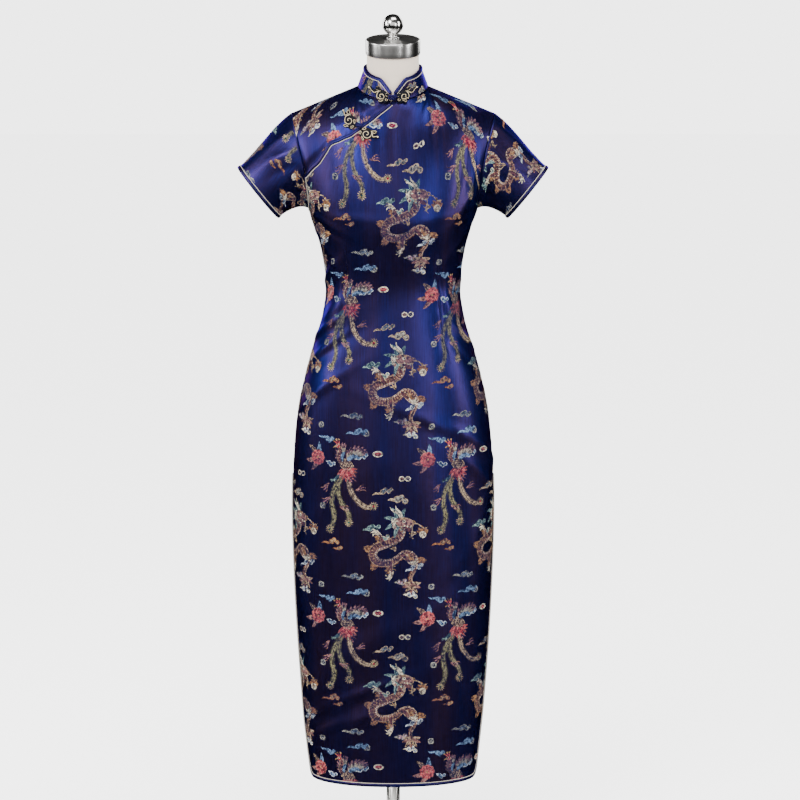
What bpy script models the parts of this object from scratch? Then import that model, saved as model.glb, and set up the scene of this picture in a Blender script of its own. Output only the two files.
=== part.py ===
"""Cheongsam dress on a limbless dress form.

Units are metres, +Z is up and the front of the dress faces -Y. The dress stands on its form, and the
form's base rests on z = 0. Every cloth piece is a closed wall that is worked out from one surface: a
table of body sections up to the armpit, then columns that bend over the chest to the shoulder seams.
A place on that surface is a turn (-1 to 1 from side seam to side seam) and a level (the height up to
the armpit, and a share of CHEST_RISE above it).
"""
import math

import bmesh
import bpy
from mathutils import Matrix, Vector

FRONT = -1
BACK = 1
QUARTER = math.pi / 2

# cloth
WALL = 0.0016
SEAM_GAP = 0.0003
TRIM_GAP = 0.0009
PIPING_GAP = 0.0008
LAP_GAP = 0.0010
OVERLAP = 0.016
SIDE_OVERLAP = 0.004
LAP_FLAT = 0.004
LAP_RISE = 0.018
UNDER_END_TURN = -0.012

# heights and sizes of the dress
HEM = 0.165
CORNER = 0.024
SLIT_TOP = 0.740
SLIT_SPREAD = 0.045
HALF_HEM = 0.150
HEM_BLEND = 0.050
ARMPIT = 1.228
CHEST_RISE = 0.200
TOP = ARMPIT + CHEST_RISE
NECK_TURN = 0.30
NECK_HALF = 0.0635
SHOULDER_HALF = 0.184
SHOULDER_Y = 0.004
SHOULDER_HEIGHT = 1.401
NECK_HEIGHT = 1.450
FRONT_NECK = (-0.063, 1.425)
BACK_NECK = (0.066, 1.457)

SECTIONS = [
    # height, half width, front depth, back depth, seam y, squareness
    (0.140, 0.153, 0.084, 0.086, 0.004, 2.20),
    (0.200, 0.159, 0.087, 0.090, 0.004, 2.20),
    (0.300, 0.169, 0.092, 0.097, 0.004, 2.20),
    (0.450, 0.179, 0.099, 0.106, 0.004, 2.20),
    (0.600, 0.185, 0.105, 0.116, 0.004, 2.15),
    (0.690, 0.186, 0.108, 0.121, 0.004, 2.10),
    (0.780, 0.183, 0.110, 0.123, 0.004, 2.10),
    (0.870, 0.1735, 0.109, 0.119, 0.004, 2.10),
    (0.930, 0.160, 0.106, 0.111, 0.004, 2.15),
    (0.970, 0.149, 0.103, 0.104, 0.004, 2.15),
    (1.030, 0.1305, 0.098, 0.092, 0.004, 2.20),
    (1.090, 0.1225, 0.097, 0.085, 0.004, 2.20),
    (1.150, 0.1295, 0.109, 0.089, 0.004, 2.20),
    (1.195, 0.141, 0.119, 0.095, 0.004, 2.25),
    (1.228, 0.1515, 0.1195, 0.099, 0.004, 2.30),
    (1.260, 0.158, 0.117, 0.102, 0.004, 2.30),
]

FRONT_BEND = [
    # turn, end back, end up
    (0.00, 0.060, 0.150),
    (0.15, 0.140, 0.110),
    (0.30, 0.270, 0.070),
    (0.65, 0.245, 0.050),
    (1.00, 0.200, 0.130),
]

BACK_BEND = [
    # turn, end back, end up
    (0.00, 0.130, 0.130),
    (0.15, 0.200, 0.100),
    (0.30, 0.300, 0.070),
    (0.65, 0.240, 0.050),
    (1.00, 0.200, 0.130),
]

ARMHOLE_START = (0.0, 0.205, 0.110)
ARMHOLE_END_OUT = 0.045
ARMHOLE_REACH = 0.40

HALF_PANEL = 0.16
FOLD_MARGIN = 0.08
FOLDS = [
    # side, turn, height, half length, half width, lean, depth
    (FRONT, -0.66, 1.045, 0.055, 0.016, 0.85, 0.0040),
    (FRONT, -0.50, 0.985, 0.070, 0.018, 0.75, -0.0030),
    (FRONT, 0.62, 1.050, 0.050, 0.016, -0.80, 0.0030),
    (FRONT, -0.45, 0.360, 0.130, 0.024, 0.55, 0.0045),
    (FRONT, 0.40, 0.520, 0.160, 0.026, 0.15, 0.0030),
    (BACK, 0.55, 1.045, 0.055, 0.016, 0.85, 0.0035),
    (BACK, -0.60, 1.020, 0.060, 0.017, -0.80, 0.0035),
    (BACK, 0.30, 0.420, 0.150, 0.026, 0.35, 0.0040),
    (BACK, -0.40, 0.500, 0.150, 0.026, -0.20, 0.0030),
]

OPENING = [
    # x, z of the lapped front edge, seen from the front
    (-0.1520, 1.2930),
    (-0.1360, 1.3150),
    (-0.1230, 1.3330),
    (-0.1130, 1.3490),
    (-0.0920, 1.3590),
    (-0.0700, 1.3700),
    (-0.0440, 1.3890),
    (-0.0220, 1.4070),
    (0.0000, 1.4250),
]

# edges
BINDING_WIDTH = 0.0058
BINDING_HEIGHT = 0.0010
PIPING_WIDTH = 0.0020
PIPING_HEIGHT = 0.0015

# sleeves
SLEEVE_HEM_TOP = (0.2810, 1.3030)
SLEEVE_HEM_BOTTOM = (0.2090, 1.2130)
SLEEVE_HEM_DEPTH = 0.037
SLEEVE_Y = 0.000
SLEEVE_RISE = 0.75
SLEEVE_FALL = 0.70
SLEEVE_STEPS = 6
SLEEVE_AROUND = 20

# collar
COLLAR_FRONT = 0.011
COLLAR_RISE = 0.025
COLLAR_CORNER = 0.030
COLLAR_LEAN = 0.368
COLLAR_ROUND = 1.5
COLLAR_GAP = 0.004
COLLAR_COLUMNS = 40
COLLAR_ROWS = 3

# dress form
FORM_GAP = 0.0058
FORM_SHOULDER_GAP = 0.0021
FORM_BOTTOM = 0.690
HIP_ROUND = 0.014
NECK_RADIUS = 0.0468
NECK_FOOT = 1.440
NECK_TOP = (0.000, 1.5065)
NECK_TILT = math.radians(13)
CAP_RADIUS = 0.0492
CAP_HEIGHT = 0.027
CAP_DOME = 0.0008
BALL_RADIUS = 0.0187
BALL_RISE = 0.026
POLE_RADIUS = 0.0125
BASE_RADIUS = 0.170
BASE_HEIGHT = 0.014
HUB_RADIUS = 0.030
HUB_HEIGHT = 0.034


def clear_scene():
    for old in list(bpy.data.objects):
        bpy.data.objects.remove(old, do_unlink=True)


def finish(name, colour, roughness, metallic=0.0):
    """Plain material of one kind of piece."""
    material = bpy.data.materials.get(name) or bpy.data.materials.new(name)
    material.use_nodes = True
    shader = material.node_tree.nodes["Principled BSDF"]
    shader.inputs["Base Color"].default_value = (*colour, 1.0)
    shader.inputs["Roughness"].default_value = roughness
    shader.inputs["Metallic"].default_value = metallic
    return material


def satin():
    return finish("navy_satin", (0.010, 0.014, 0.085), 0.35)


def pale_cord():
    return finish("pale_cord", (0.72, 0.63, 0.50), 0.5)


def gold_cord():
    return finish("gold_cord", (0.62, 0.47, 0.22), 0.4)


def cream_jersey():
    return finish("cream_jersey", (0.76, 0.70, 0.62), 0.8)


def steel():
    return finish("brushed_steel", (0.60, 0.60, 0.60), 0.35, 1.0)


def add_solid(name, mesh, material):
    """Link a closed bmesh as an object, with its faces outward."""
    bmesh.ops.remove_doubles(mesh, verts=mesh.verts, dist=1e-6)
    bmesh.ops.recalc_face_normals(mesh, faces=mesh.faces)
    data = bpy.data.meshes.new(name)
    mesh.to_mesh(data)
    mesh.free()
    for face in data.polygons:
        face.use_smooth = True
    data.materials.append(material)
    solid = bpy.data.objects.new(name, data)
    bpy.context.collection.objects.link(solid)
    return solid


def grid_faces(mesh, rows, wrap=False):
    """Faces between rows of vertices, wrapped round where the rows are rings."""
    for low, high in zip(rows, rows[1:]):
        count = len(low)
        for i in range(count if wrap else count - 1):
            j = (i + 1) % count
            mesh.faces.new((low[i], low[j], high[j]))
            mesh.faces.new((low[i], high[j], high[i]))


def wall(name, outer, inner, material, wrap=False):
    """Closed wall between two grids of points, given as rows."""
    mesh = bmesh.new()
    out_rows = [[mesh.verts.new(p) for p in row] for row in outer]
    in_rows = [[mesh.verts.new(p) for p in row] for row in inner]
    grid_faces(mesh, out_rows, wrap)
    grid_faces(mesh, in_rows, wrap)
    grid_faces(mesh, [out_rows[0], in_rows[0]], wrap)
    grid_faces(mesh, [out_rows[-1], in_rows[-1]], wrap)
    if not wrap:
        for end in (0, -1):
            grid_faces(mesh, [[row[end] for row in out_rows], [row[end] for row in in_rows]])
    return add_solid(name, mesh, material)


def lathe(name, profile, material, steps=32):
    """Solid of revolution about Z from (radius, height) points that start and end on the axis."""
    mesh = bmesh.new()
    rings = []
    for radius, height in profile:
        if radius == 0.0:
            rings.append([mesh.verts.new((0.0, 0.0, height))])
            continue
        turns = [2 * math.pi * i / steps for i in range(steps)]
        rings.append([mesh.verts.new((radius * math.cos(a), radius * math.sin(a), height)) for a in turns])
    for low, high in zip(rings, rings[1:]):
        for i in range(steps):
            j = (i + 1) % steps
            corners = [low[i % len(low)], low[j % len(low)], high[j % len(high)], high[i % len(high)]]
            mesh.faces.new(list(dict.fromkeys(corners)))
    return add_solid(name, mesh, material)


def hermite(start, start_slope, end, end_slope, t):
    """Cubic from start to end with the given slopes, for numbers and vectors."""
    t2, t3 = t * t, t * t * t
    return (start * (2 * t3 - 3 * t2 + 1) + start_slope * (t3 - 2 * t2 + t)
            + end * (3 * t2 - 2 * t3) + end_slope * (t3 - t2))


def ease(value):
    value = min(max(value, 0.0), 1.0)
    return value * value * (3 - 2 * value)


def read_table(table, key, column):
    """Smooth value of one column of a table at a key of its first column."""
    keys = [row[0] for row in table]
    key = min(max(key, keys[0]), keys[-1])
    last = len(keys) - 1
    low = next(i for i in range(last) if key <= keys[i + 1])

    def slope(i):
        before, after = max(i - 1, 0), min(i + 1, last)
        return (table[after][column] - table[before][column]) / (keys[after] - keys[before])

    span = keys[low + 1] - keys[low]
    share = (key - keys[low]) / span
    return hermite(table[low][column], slope(low) * span, table[low + 1][column], slope(low + 1) * span, share)


def ring_point(turn, height, side):
    """Body section at a height, up to the armpit."""
    half, front, back, seam, power = (read_table(SECTIONS, height, c) for c in range(1, 6))
    across = math.sin(turn * QUARTER)
    depth = front if side == FRONT else back
    bulge = max(1 - abs(across) ** power, 0.0) ** (1 / power)
    return Vector((half * across, seam + side * depth * bulge, height))


def top_point(turn, side):
    """Where a column of the chest or back ends: on the neckline or the shoulder seam."""
    if abs(turn) <= NECK_TURN:
        angle = turn / NECK_TURN * QUARTER
        middle_y, middle_z = FRONT_NECK if side == FRONT else BACK_NECK
        share = math.cos(angle)
        y = SHOULDER_Y + (middle_y - SHOULDER_Y) * share
        z = NECK_HEIGHT + (middle_z - NECK_HEIGHT) * share
        return Vector((NECK_HALF * math.sin(angle), y, z))
    share = (abs(turn) - NECK_TURN) / (1 - NECK_TURN)
    x = NECK_HALF + (SHOULDER_HALF - NECK_HALF) * share
    z = NECK_HEIGHT + (SHOULDER_HEIGHT - NECK_HEIGHT) * share
    return Vector((math.copysign(x, turn), SHOULDER_Y, z))


def plain_point(turn, level, side):
    """Dress surface without its folds."""
    if level <= ARMPIT:
        return ring_point(turn, level, side)
    start = ring_point(turn, ARMPIT, side)
    step = 0.004
    slope = (start - ring_point(turn, ARMPIT - step, side)) * (CHEST_RISE / step)
    near_arm = ease((abs(turn) - 1 + ARMHOLE_REACH) / ARMHOLE_REACH)
    out, forward, up = ARMHOLE_START
    arm_slope = Vector((math.copysign(out, turn), side * forward, up))
    slope = slope.lerp(arm_slope, near_arm)
    bend = FRONT_BEND if side == FRONT else BACK_BEND
    end_out = math.copysign(ARMHOLE_END_OUT * near_arm, turn)
    end_slope = Vector((end_out, -side * read_table(bend, abs(turn), 1), read_table(bend, abs(turn), 2)))
    return hermite(start, slope, top_point(turn, side), end_slope, (level - ARMPIT) / CHEST_RISE)


def fold_depth(turn, level, side):
    """How far the largest folds stand out of the plain surface."""
    total = 0.0
    for fold_side, fold_turn, height, length, width, lean, depth in FOLDS:
        if fold_side != side:
            continue
        x = (turn - fold_turn) * HALF_PANEL
        z = level - height
        along = x * math.sin(lean) + z * math.cos(lean)
        across = x * math.cos(lean) - z * math.sin(lean)
        total += depth * math.exp(-(along / length) ** 2 - (across / width) ** 2)
    return total * ease((1 - abs(turn)) / FOLD_MARGIN)


def partials(turn, level, side):
    """The surface's change with turn and with level."""
    step = 0.002
    turn_low, turn_high = max(turn - step, -1.0), min(turn + step, 1.0)
    level_low, level_high = max(level - step, SECTIONS[0][0]), min(level + step, TOP)
    by_turn = plain_point(turn_high, level, side) - plain_point(turn_low, level, side)
    by_level = plain_point(turn, level_high, side) - plain_point(turn, level_low, side)
    return by_turn / (turn_high - turn_low), by_level / (level_high - level_low)


def normal(turn, level, side):
    """Outward direction, kept in the XZ plane on the side and shoulder seams."""
    by_turn, by_level = partials(turn, level, side)
    direction = by_turn.cross(by_level) * -side
    on_side = abs(turn) > 0.9999 and level <= ARMPIT
    on_shoulder = level > TOP - 1e-6 and abs(turn) > NECK_TURN - 1e-6
    if on_side or on_shoulder:
        direction.y = 0.0
    return direction.normalized()


def lift(turn, level, side, out=0.0):
    """Point of the front or back, moved out of the cloth's face; the two are a seam's gap apart."""
    point = plain_point(turn, level, side)
    point.y += side * SEAM_GAP / 2
    return point + normal(turn, level, side) * (out + fold_depth(turn, level, side))


def find_place(x, z, side):
    """Turn and level of the surface point that shows at x and z from the front."""
    turn, level = x / 0.17, min(z, TOP - 0.01)
    for _ in range(30):
        miss = Vector((x, 0.0, z)) - plain_point(turn, level, side)
        by_turn, by_level = partials(turn, level, side)
        scale = by_turn.x * by_level.z - by_level.x * by_turn.z
        turn += (miss.x * by_level.z - by_level.x * miss.z) / scale
        level += (by_turn.x * miss.z - miss.x * by_turn.z) / scale
        turn, level = min(max(turn, -1.0), 1.0), min(max(level, ARMPIT - 0.1), TOP)
    return turn, level


def slit_turn(level):
    """Turn of a panel's side edge: on the seam above the slit, drawn back below it."""
    return 1 - SLIT_SPREAD * ease((SLIT_TOP - level) / (SLIT_TOP - HEM))


def hem_level(turn):
    """Height of the hem at a turn, with its corner rounded at the slit."""
    edge = slit_turn(HEM)
    arc = (edge - abs(turn)) * HALF_HEM
    short = max(CORNER - arc, 0.0)
    return HEM + CORNER - math.sqrt(max(CORNER ** 2 - short ** 2, 0.0))


def panel_place(share, height):
    """Turn and level of a panel place: share -1..1 across, and a height up to the armpit."""
    turn = share * slit_turn(height)
    near_hem = max(1 - (height - HEM) / HEM_BLEND, 0.0)
    return turn, height + (hem_level(share * slit_turn(HEM)) - HEM) * near_hem


def columns():
    """Shares across a panel: even over the neck, and closer together towards the side seams."""
    neck = [NECK_TURN * i / NECK_COLUMNS for i in range(1 - NECK_COLUMNS, NECK_COLUMNS)]
    steps = [i / SIDE_COLUMNS for i in range(SIDE_COLUMNS + 1)]
    side = [NECK_TURN + (1 - NECK_TURN) * (0.6 * t + 0.4 * math.sin(t * QUARTER)) for t in steps]
    return [-t for t in reversed(side)] + neck + side


LOW_ROWS = [HEM, 0.172, 0.184, 0.210, 0.255, 0.300, 0.350, 0.400, 0.460, 0.530, 0.600, 0.670,
            SLIT_TOP, 0.800, 0.855, 0.905, 0.945, 0.980, 1.010, 1.040, 1.070, 1.100, 1.135, 1.170,
            1.200, ARMPIT]
CHEST_ROWS = 10
OPENING_ROW = 4
SIDE_COLUMNS = 7
NECK_COLUMNS = 4


def opening_table():
    """Turn and level of the lapped edge, from its front view points."""
    places = [find_place(x, z, FRONT) for x, z in OPENING]
    places[0] = (-1.0, ARMPIT + CHEST_RISE * OPENING_ROW / CHEST_ROWS)
    places[-1] = (0.0, TOP)
    return places


OPENING_PLACES = opening_table()


def front_top(turn):
    """Level of the front panel's top edge."""
    if turn >= 0.0:
        return TOP
    return min(read_table(OPENING_PLACES, turn, 1), TOP)


def panel_grid(side, shares, top_level, out):
    """Rows of points of a whole panel, hem to neck and shoulders."""
    rows = [[lift(*panel_place(share, height), side, out) for share in shares] for height in LOW_ROWS]
    for i in range(1, CHEST_ROWS + 1):
        levels = [ARMPIT + (top_level(share) - ARMPIT) * i / CHEST_ROWS for share in shares]
        rows.append([lift(share, level, side, out) for share, level in zip(shares, levels)])
    return rows


def make_front_panel():
    shares = columns()
    outer = panel_grid(FRONT, shares, front_top, 0.0)
    inner = panel_grid(FRONT, shares, front_top, -WALL)
    wall("front_panel", outer, inner, satin())
    return grid_surface(outer, inner)


def make_back_panel():
    shares = columns()
    outer = panel_grid(BACK, shares, lambda turn: TOP, 0.0)
    inner = panel_grid(BACK, shares, lambda turn: TOP, -WALL)
    wall("back_panel", outer, inner, satin())
    return grid_surface(outer, inner)


def under_drop(turn, level):
    """How far the under panel lies below the front's face: most under the lap, none further up."""
    above = level - read_table(OPENING_PLACES, turn, 1)
    return (WALL + LAP_GAP) * (1 - ease((above - LAP_FLAT) / LAP_RISE))


def make_under_panel():
    """Chest piece that the lapped edge covers, from the armhole to the centre front."""
    turns = [turn for turn in columns() if turn < -1e-6] + [UNDER_END_TURN]
    edges = [read_table(OPENING_PLACES, turn, 1) for turn in turns]
    rows = [[edge - (OVERLAP if turn > -1.0 else SIDE_OVERLAP) for turn, edge in zip(turns, edges)]]
    count = CHEST_ROWS - OPENING_ROW
    for i in range(count + 1):
        rows.append([edge + (TOP - edge) * i / count for edge in edges])
    outer = [[lift(t, v, FRONT, -under_drop(t, v)) for t, v in zip(turns, row)] for row in rows]
    inner = [[lift(t, v, FRONT, -under_drop(t, v) - WALL) for t, v in zip(turns, row)] for row in rows]
    wall("under_panel", outer, inner, satin())


def armhole_point(around, hand):
    """Armhole edge; around runs 0..1 from the armpit over the front, the shoulder and the back."""
    around %= 1.0
    side = FRONT if around <= 0.5 else BACK
    share = 2 * around if side == FRONT else 2 - 2 * around
    return plain_point(hand, ARMPIT + CHEST_RISE * share, side), ARMPIT + CHEST_RISE * share, side


def armhole(around, hand):
    """Start of the sleeve: a seam's gap away from the armhole edge, with the cloth's outward direction."""
    step = 0.01
    point, level, side = armhole_point(around, hand)
    outward = normal(hand, level, side)
    ahead = armhole_point(around + step, hand)[0] - armhole_point(around - step, hand)[0]
    away = ahead.cross(outward).normalized() * hand
    return point + away * SEAM_GAP, outward


def sleeve_point(around, along, hand, out=0.0):
    """Sleeve surface from the armhole (along 0) to the hem (along 1)."""
    start, start_normal = armhole(around, hand)
    angle = 2 * math.pi * around
    top = Vector((hand * SLEEVE_HEM_TOP[0], SLEEVE_Y, SLEEVE_HEM_TOP[1]))
    bottom = Vector((hand * SLEEVE_HEM_BOTTOM[0], SLEEVE_Y, SLEEVE_HEM_BOTTOM[1]))
    middle, reach = (top + bottom) / 2, (top - bottom) / 2
    end_normal = (-math.cos(angle) * reach.normalized() + Vector((0, -math.sin(angle), 0))).normalized()
    end = middle - reach * math.cos(angle) + Vector((0, -SLEEVE_HEM_DEPTH * math.sin(angle), 0))
    axis = Vector((hand * abs(reach.z), 0, -abs(reach.x))).normalized()
    length = (end - start).length
    high = (1 - math.cos(angle)) / 2
    leave = Vector((hand, 0, SLEEVE_RISE * (1 - high) - SLEEVE_FALL * high)).normalized()
    point = hermite(start, leave * length, end, axis * length, along)
    return point + start_normal.lerp(end_normal, ease(along)).normalized() * out


def make_sleeve(name, hand):
    turns = [i / SLEEVE_AROUND for i in range(SLEEVE_AROUND)]
    steps = [i / SLEEVE_STEPS for i in range(SLEEVE_STEPS + 1)]
    outer = [[sleeve_point(a, s, hand) for a in turns] for s in steps]
    inner = [[sleeve_point(a, s, hand, -WALL) for a in turns] for s in steps]
    wall(name, outer, inner, satin(), wrap=True)
    return grid_surface(outer, inner, wrap=True)


def collar_height(arc):
    """Height of the collar at a distance along its base from the centre front."""
    share = min(arc / COLLAR_CORNER, 1.0)
    return COLLAR_FRONT + COLLAR_RISE * (1 - (1 - share) ** COLLAR_ROUND)


def neckline_point(angle):
    """Neckline at an angle round the neck, 0 at the centre front."""
    angle = (angle + math.pi) % (2 * math.pi) - math.pi
    side = FRONT if abs(angle) <= QUARTER else BACK
    turn = angle if side == FRONT else math.copysign(math.pi - abs(angle), angle)
    return top_point(turn / QUARTER * NECK_TURN, side)


def neckline_chord(angle):
    """The same on the straight edges between a panel's columns, which the collar is sewn to."""
    step = QUARTER / NECK_COLUMNS
    low = math.floor(angle / step + 1e-9)
    return neckline_point(low * step).lerp(neckline_point((low + 1) * step), angle / step - low)


def collar_point(angle, share, out=0.0):
    """Collar surface: angle 0 at the centre front, share 0 at the base and 1 at the top edge."""
    base = neckline_point(angle) if share > 0 else neckline_chord(angle)
    around = abs((angle + math.pi) % (2 * math.pi) - math.pi)
    height = collar_height(around * NECK_HALF) * share
    away = Vector((base.x, base.y - SHOULDER_Y, 0)).normalized()
    base.z += SEAM_GAP
    return base + Vector((0, 0, height)) - away * (COLLAR_LEAN * height - out)


def collar_angles(count):
    """Angles round the neck from one front edge to the other, closer together at the front."""
    gap = COLLAR_GAP / 2 / NECK_HALF
    even = [2 * i / count - 1 for i in range(count + 1)]
    crowded = [(share + math.sin(share * QUARTER)) / 2 for share in even]
    return [math.pi + share * (math.pi - gap) for share in crowded]


def make_collar():
    angles = collar_angles(COLLAR_COLUMNS)
    steps = [i / COLLAR_ROWS for i in range(COLLAR_ROWS + 1)]
    outer = [[collar_point(a, s) for a in angles] for s in steps]
    inner = [[collar_point(a, s, -WALL) for a in angles] for s in steps]
    wall("collar", outer, inner, satin())
    return grid_surface(outer, inner)


def grid_surface(outer, inner, wrap=False):
    """A wall's outer face, as a function of column, row and a distance out of it."""
    rows, count = len(outer), len(outer[0])

    def surface(column, row, out=0.0):
        column = column % count if wrap else min(max(column, 0.0), count - 1.000001)
        row = min(max(row, 0.0), rows - 1.000001)
        i, j = int(column), int(row)
        after = (i + 1) % count

        along, up = column - i, row - j

        def between(grid):
            corner, far = grid[j][i], grid[j + 1][after]
            if up <= along:
                return corner + (grid[j][after] - corner) * along + (far - grid[j][after]) * up
            return corner + (grid[j + 1][i] - corner) * up + (far - grid[j + 1][i]) * along

        point = between(outer)
        return point + (point - between(inner)).normalized() * out

    surface.middle = (0.0 if wrap else (count - 1) / 2, (rows - 1) / 2)
    return surface


def nudge(surface, a, b, move):
    """Change of column and row that moves a point of the surface by about the given vector."""
    middle_a, middle_b = surface.middle
    here = surface(a, b)
    step_a = math.copysign(0.02, middle_a - a)
    step_b = math.copysign(0.02, middle_b - b)
    by_a = (surface(a + step_a, b) - here) / step_a
    by_b = (surface(a, b + step_b) - here) / step_b
    aa, ab, bb = by_a.dot(by_a), by_a.dot(by_b), by_b.dot(by_b)
    to_a, to_b = by_a.dot(move), by_b.dot(move)
    scale = aa * bb - ab * ab
    return a + (to_a * bb - to_b * ab) / scale, b + (to_b * aa - to_a * ab) / scale


def inset(surface, places, width):
    """Places of a surface moved to the left of the way that they run, in short steps along it."""
    moved = []
    steps = 16
    for i, (a, b) in enumerate(places):
        before, after = places[max(i - 1, 0)], places[min(i + 1, len(places) - 1)]
        start = surface(a, b)
        ahead = surface(*after) - surface(*before)
        out = surface(a, b, 0.001) - start
        left = out.cross(ahead).normalized() * width
        for step in range(1, steps + 1):
            a, b = nudge(surface, a, b, start + left * (step / steps) - surface(a, b))
        moved.append((a, b))
    return moved


def strip(name, surface, places, near, far, height, material, wrap=False):
    """Flat closed strip that lies on a surface, between two distances from an edge."""
    lines = [inset(surface, places, width) for width in (near, far)]
    outer = [[surface(a, b, TRIM_GAP + height) for a, b in line] for line in lines]
    inner = [[surface(a, b, TRIM_GAP) for a, b in line] for line in lines]
    return wall(name, outer, inner, material, wrap)


def bind(name, surface, places, inward, wrap=False):
    """Binding along an edge, and the pale cord just inside it."""
    near = 0.0002 * inward
    edge = BINDING_WIDTH * inward
    cord = edge + PIPING_GAP * inward
    end = cord + PIPING_WIDTH * inward
    strip(name + "_binding", surface, places, near, edge, BINDING_HEIGHT, satin(), wrap)
    strip(name + "_piping", surface, places, cord, end, PIPING_HEIGHT, pale_cord(), wrap)


def bind_panel(name, surface, side):
    """Edges of a panel below the slits: down one side, along the hem and up the other."""
    slit_row = LOW_ROWS.index(SLIT_TOP)
    last = len(columns()) - 1
    places = [(0, row) for row in range(slit_row, -1, -1)]
    places += [(column / 2, 0) for column in range(1, 2 * last)]
    places += [(last, row) for row in range(slit_row + 1)]
    bind(name, surface, places, -side)


def bind_opening(surface):
    """Lapped edge from the armpit, up the armhole and across to the centre front."""
    armpit_row = len(LOW_ROWS) - 1
    top_row = armpit_row + CHEST_ROWS
    centre = SIDE_COLUMNS + NECK_COLUMNS
    places = [(0, armpit_row + step + 0.5) for step in range(CHEST_ROWS - 2)] + [(0, top_row)]
    places += [(column / 3, top_row) for column in range(3, 3 * centre)] + [(centre - 0.1, top_row)]
    bind("opening", surface, places, -1)


def bind_sleeve(name, surface, hand):
    bind(name, surface, [(column, SLEEVE_STEPS) for column in range(SLEEVE_AROUND)], hand, wrap=True)


def bind_collar(surface):
    """Top edge of the collar with its rounded front corners."""
    bind("collar", surface, [(column, COLLAR_ROWS) for column in range(COLLAR_COLUMNS + 1)], -1)


# frog closures: outline of one half, from its knot outward
FROG_SHAPE = [
    # along, across, half width
    (0.0058, 0.0000, 0.0014),
    (0.0100, 0.0000, 0.0018),
    (0.0130, 0.0005, 0.0060),
    (0.0180, 0.0015, 0.0105),
    (0.0240, 0.0030, 0.0120),
    (0.0295, 0.0045, 0.0090),
    (0.0345, 0.0065, 0.0042),
    (0.0400, 0.0080, 0.0022),
    (0.0450, 0.0100, 0.0020),
    (0.0480, 0.0118, 0.0010),
]
FROG_OUT = 0.0026
UNDER_FROG_OUT = 0.0006
FROG_PLATE = 0.0012
FROG_CORD = 0.0009
FROG_EYE = (0.0215, 0.0015)
FROG_SPIRAL = (0.0014, 0.0078)
FROG_TURNS = 1.55
FROG_STEPS = 18
KNOT_SIZE = (0.0095, 0.0046, 0.0034)
KNOT_OUT = 0.0068
COLLAR_FROG_RISE = 0.004
CHEST_FROG = (-0.0600, 1.3780)
CHEST_FROG_UPPER = math.radians(146)
CHEST_FROG_LOWER = math.radians(-50)
CHEST_FROG_SIZE = 0.80


def neck_surface(hand):
    """Surface that a half of the collar frog lies on: the collar, and the panel below its seam."""
    def surface(along, across, out):
        angle = hand * along / NECK_HALF
        rise = COLLAR_FROG_RISE + across
        if rise >= 0:
            return collar_point(angle, rise / collar_height(along), out)
        turn = angle / QUARTER * NECK_TURN
        steep = partials(turn, TOP, FRONT)[1].length
        return lift(turn, TOP + rise / steep, FRONT, out)
    return surface


def chest_surface(aim, on_under=False):
    """Surface that a half of the chest frog lies on, running from its knot at an angle."""
    ahead = (math.cos(aim), math.sin(aim))
    mirror = 1 if ahead[0] > 0 else -1

    def surface(along, across, out):
        along, across = along * CHEST_FROG_SIZE, across * CHEST_FROG_SIZE * mirror
        x = CHEST_FROG[0] + ahead[0] * along - ahead[1] * across
        z = CHEST_FROG[1] + ahead[1] * along + ahead[0] * across
        turn, level = find_place(x, z, FRONT)
        return lift(turn, level, FRONT, out - (under_drop(turn, level) if on_under else 0.0))
    return surface


FROG_ACROSS = (-1.0, -0.4, 0.4, 1.0)


def frog_grid(surface, out):
    return [[surface(a, c + w * s, out) for s in FROG_ACROSS] for a, c, w in FROG_SHAPE]


def on_plate(outer, inner, along, across, out):
    """Point over a frog's plate, read from the corners of the plate's own face there."""
    row = next(i for i in range(len(FROG_SHAPE) - 1) if along <= FROG_SHAPE[i + 1][0])
    low, high = FROG_SHAPE[row], FROG_SHAPE[row + 1]
    share = (along - low[0]) / (high[0] - low[0])
    centre = low[1] + (high[1] - low[1]) * share
    half = low[2] + (high[2] - low[2]) * share
    place = min(max((across - centre) / half, -0.99), 0.99)
    column = next(i for i in range(len(FROG_ACROSS) - 1) if place <= FROG_ACROSS[i + 1])
    side = (place - FROG_ACROSS[column]) / (FROG_ACROSS[column + 1] - FROG_ACROSS[column])

    def between(grid):
        first = grid[row][column].lerp(grid[row][column + 1], side)
        return first.lerp(grid[row + 1][column].lerp(grid[row + 1][column + 1], side), share)

    point = between(outer)
    return point + (point - between(inner)).normalized() * out


def tube(name, points, radius, material, sides=5):
    """Closed round cord along points."""
    mesh = bmesh.new()
    rings = []
    for i, point in enumerate(points):
        ahead = (points[min(i + 1, len(points) - 1)] - points[max(i - 1, 0)]).normalized()
        first = ahead.cross(Vector((0.3, -1.0, 0.2))).normalized()
        second = ahead.cross(first)
        ring = []
        for k in range(sides):
            a = 2 * math.pi * k / sides
            ring.append(mesh.verts.new(point + (first * math.cos(a) + second * math.sin(a)) * radius))
        rings.append(ring)
    grid_faces(mesh, rings, wrap=True)
    mesh.faces.new(rings[0])
    mesh.faces.new(rings[-1])
    return add_solid(name, mesh, material)


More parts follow.
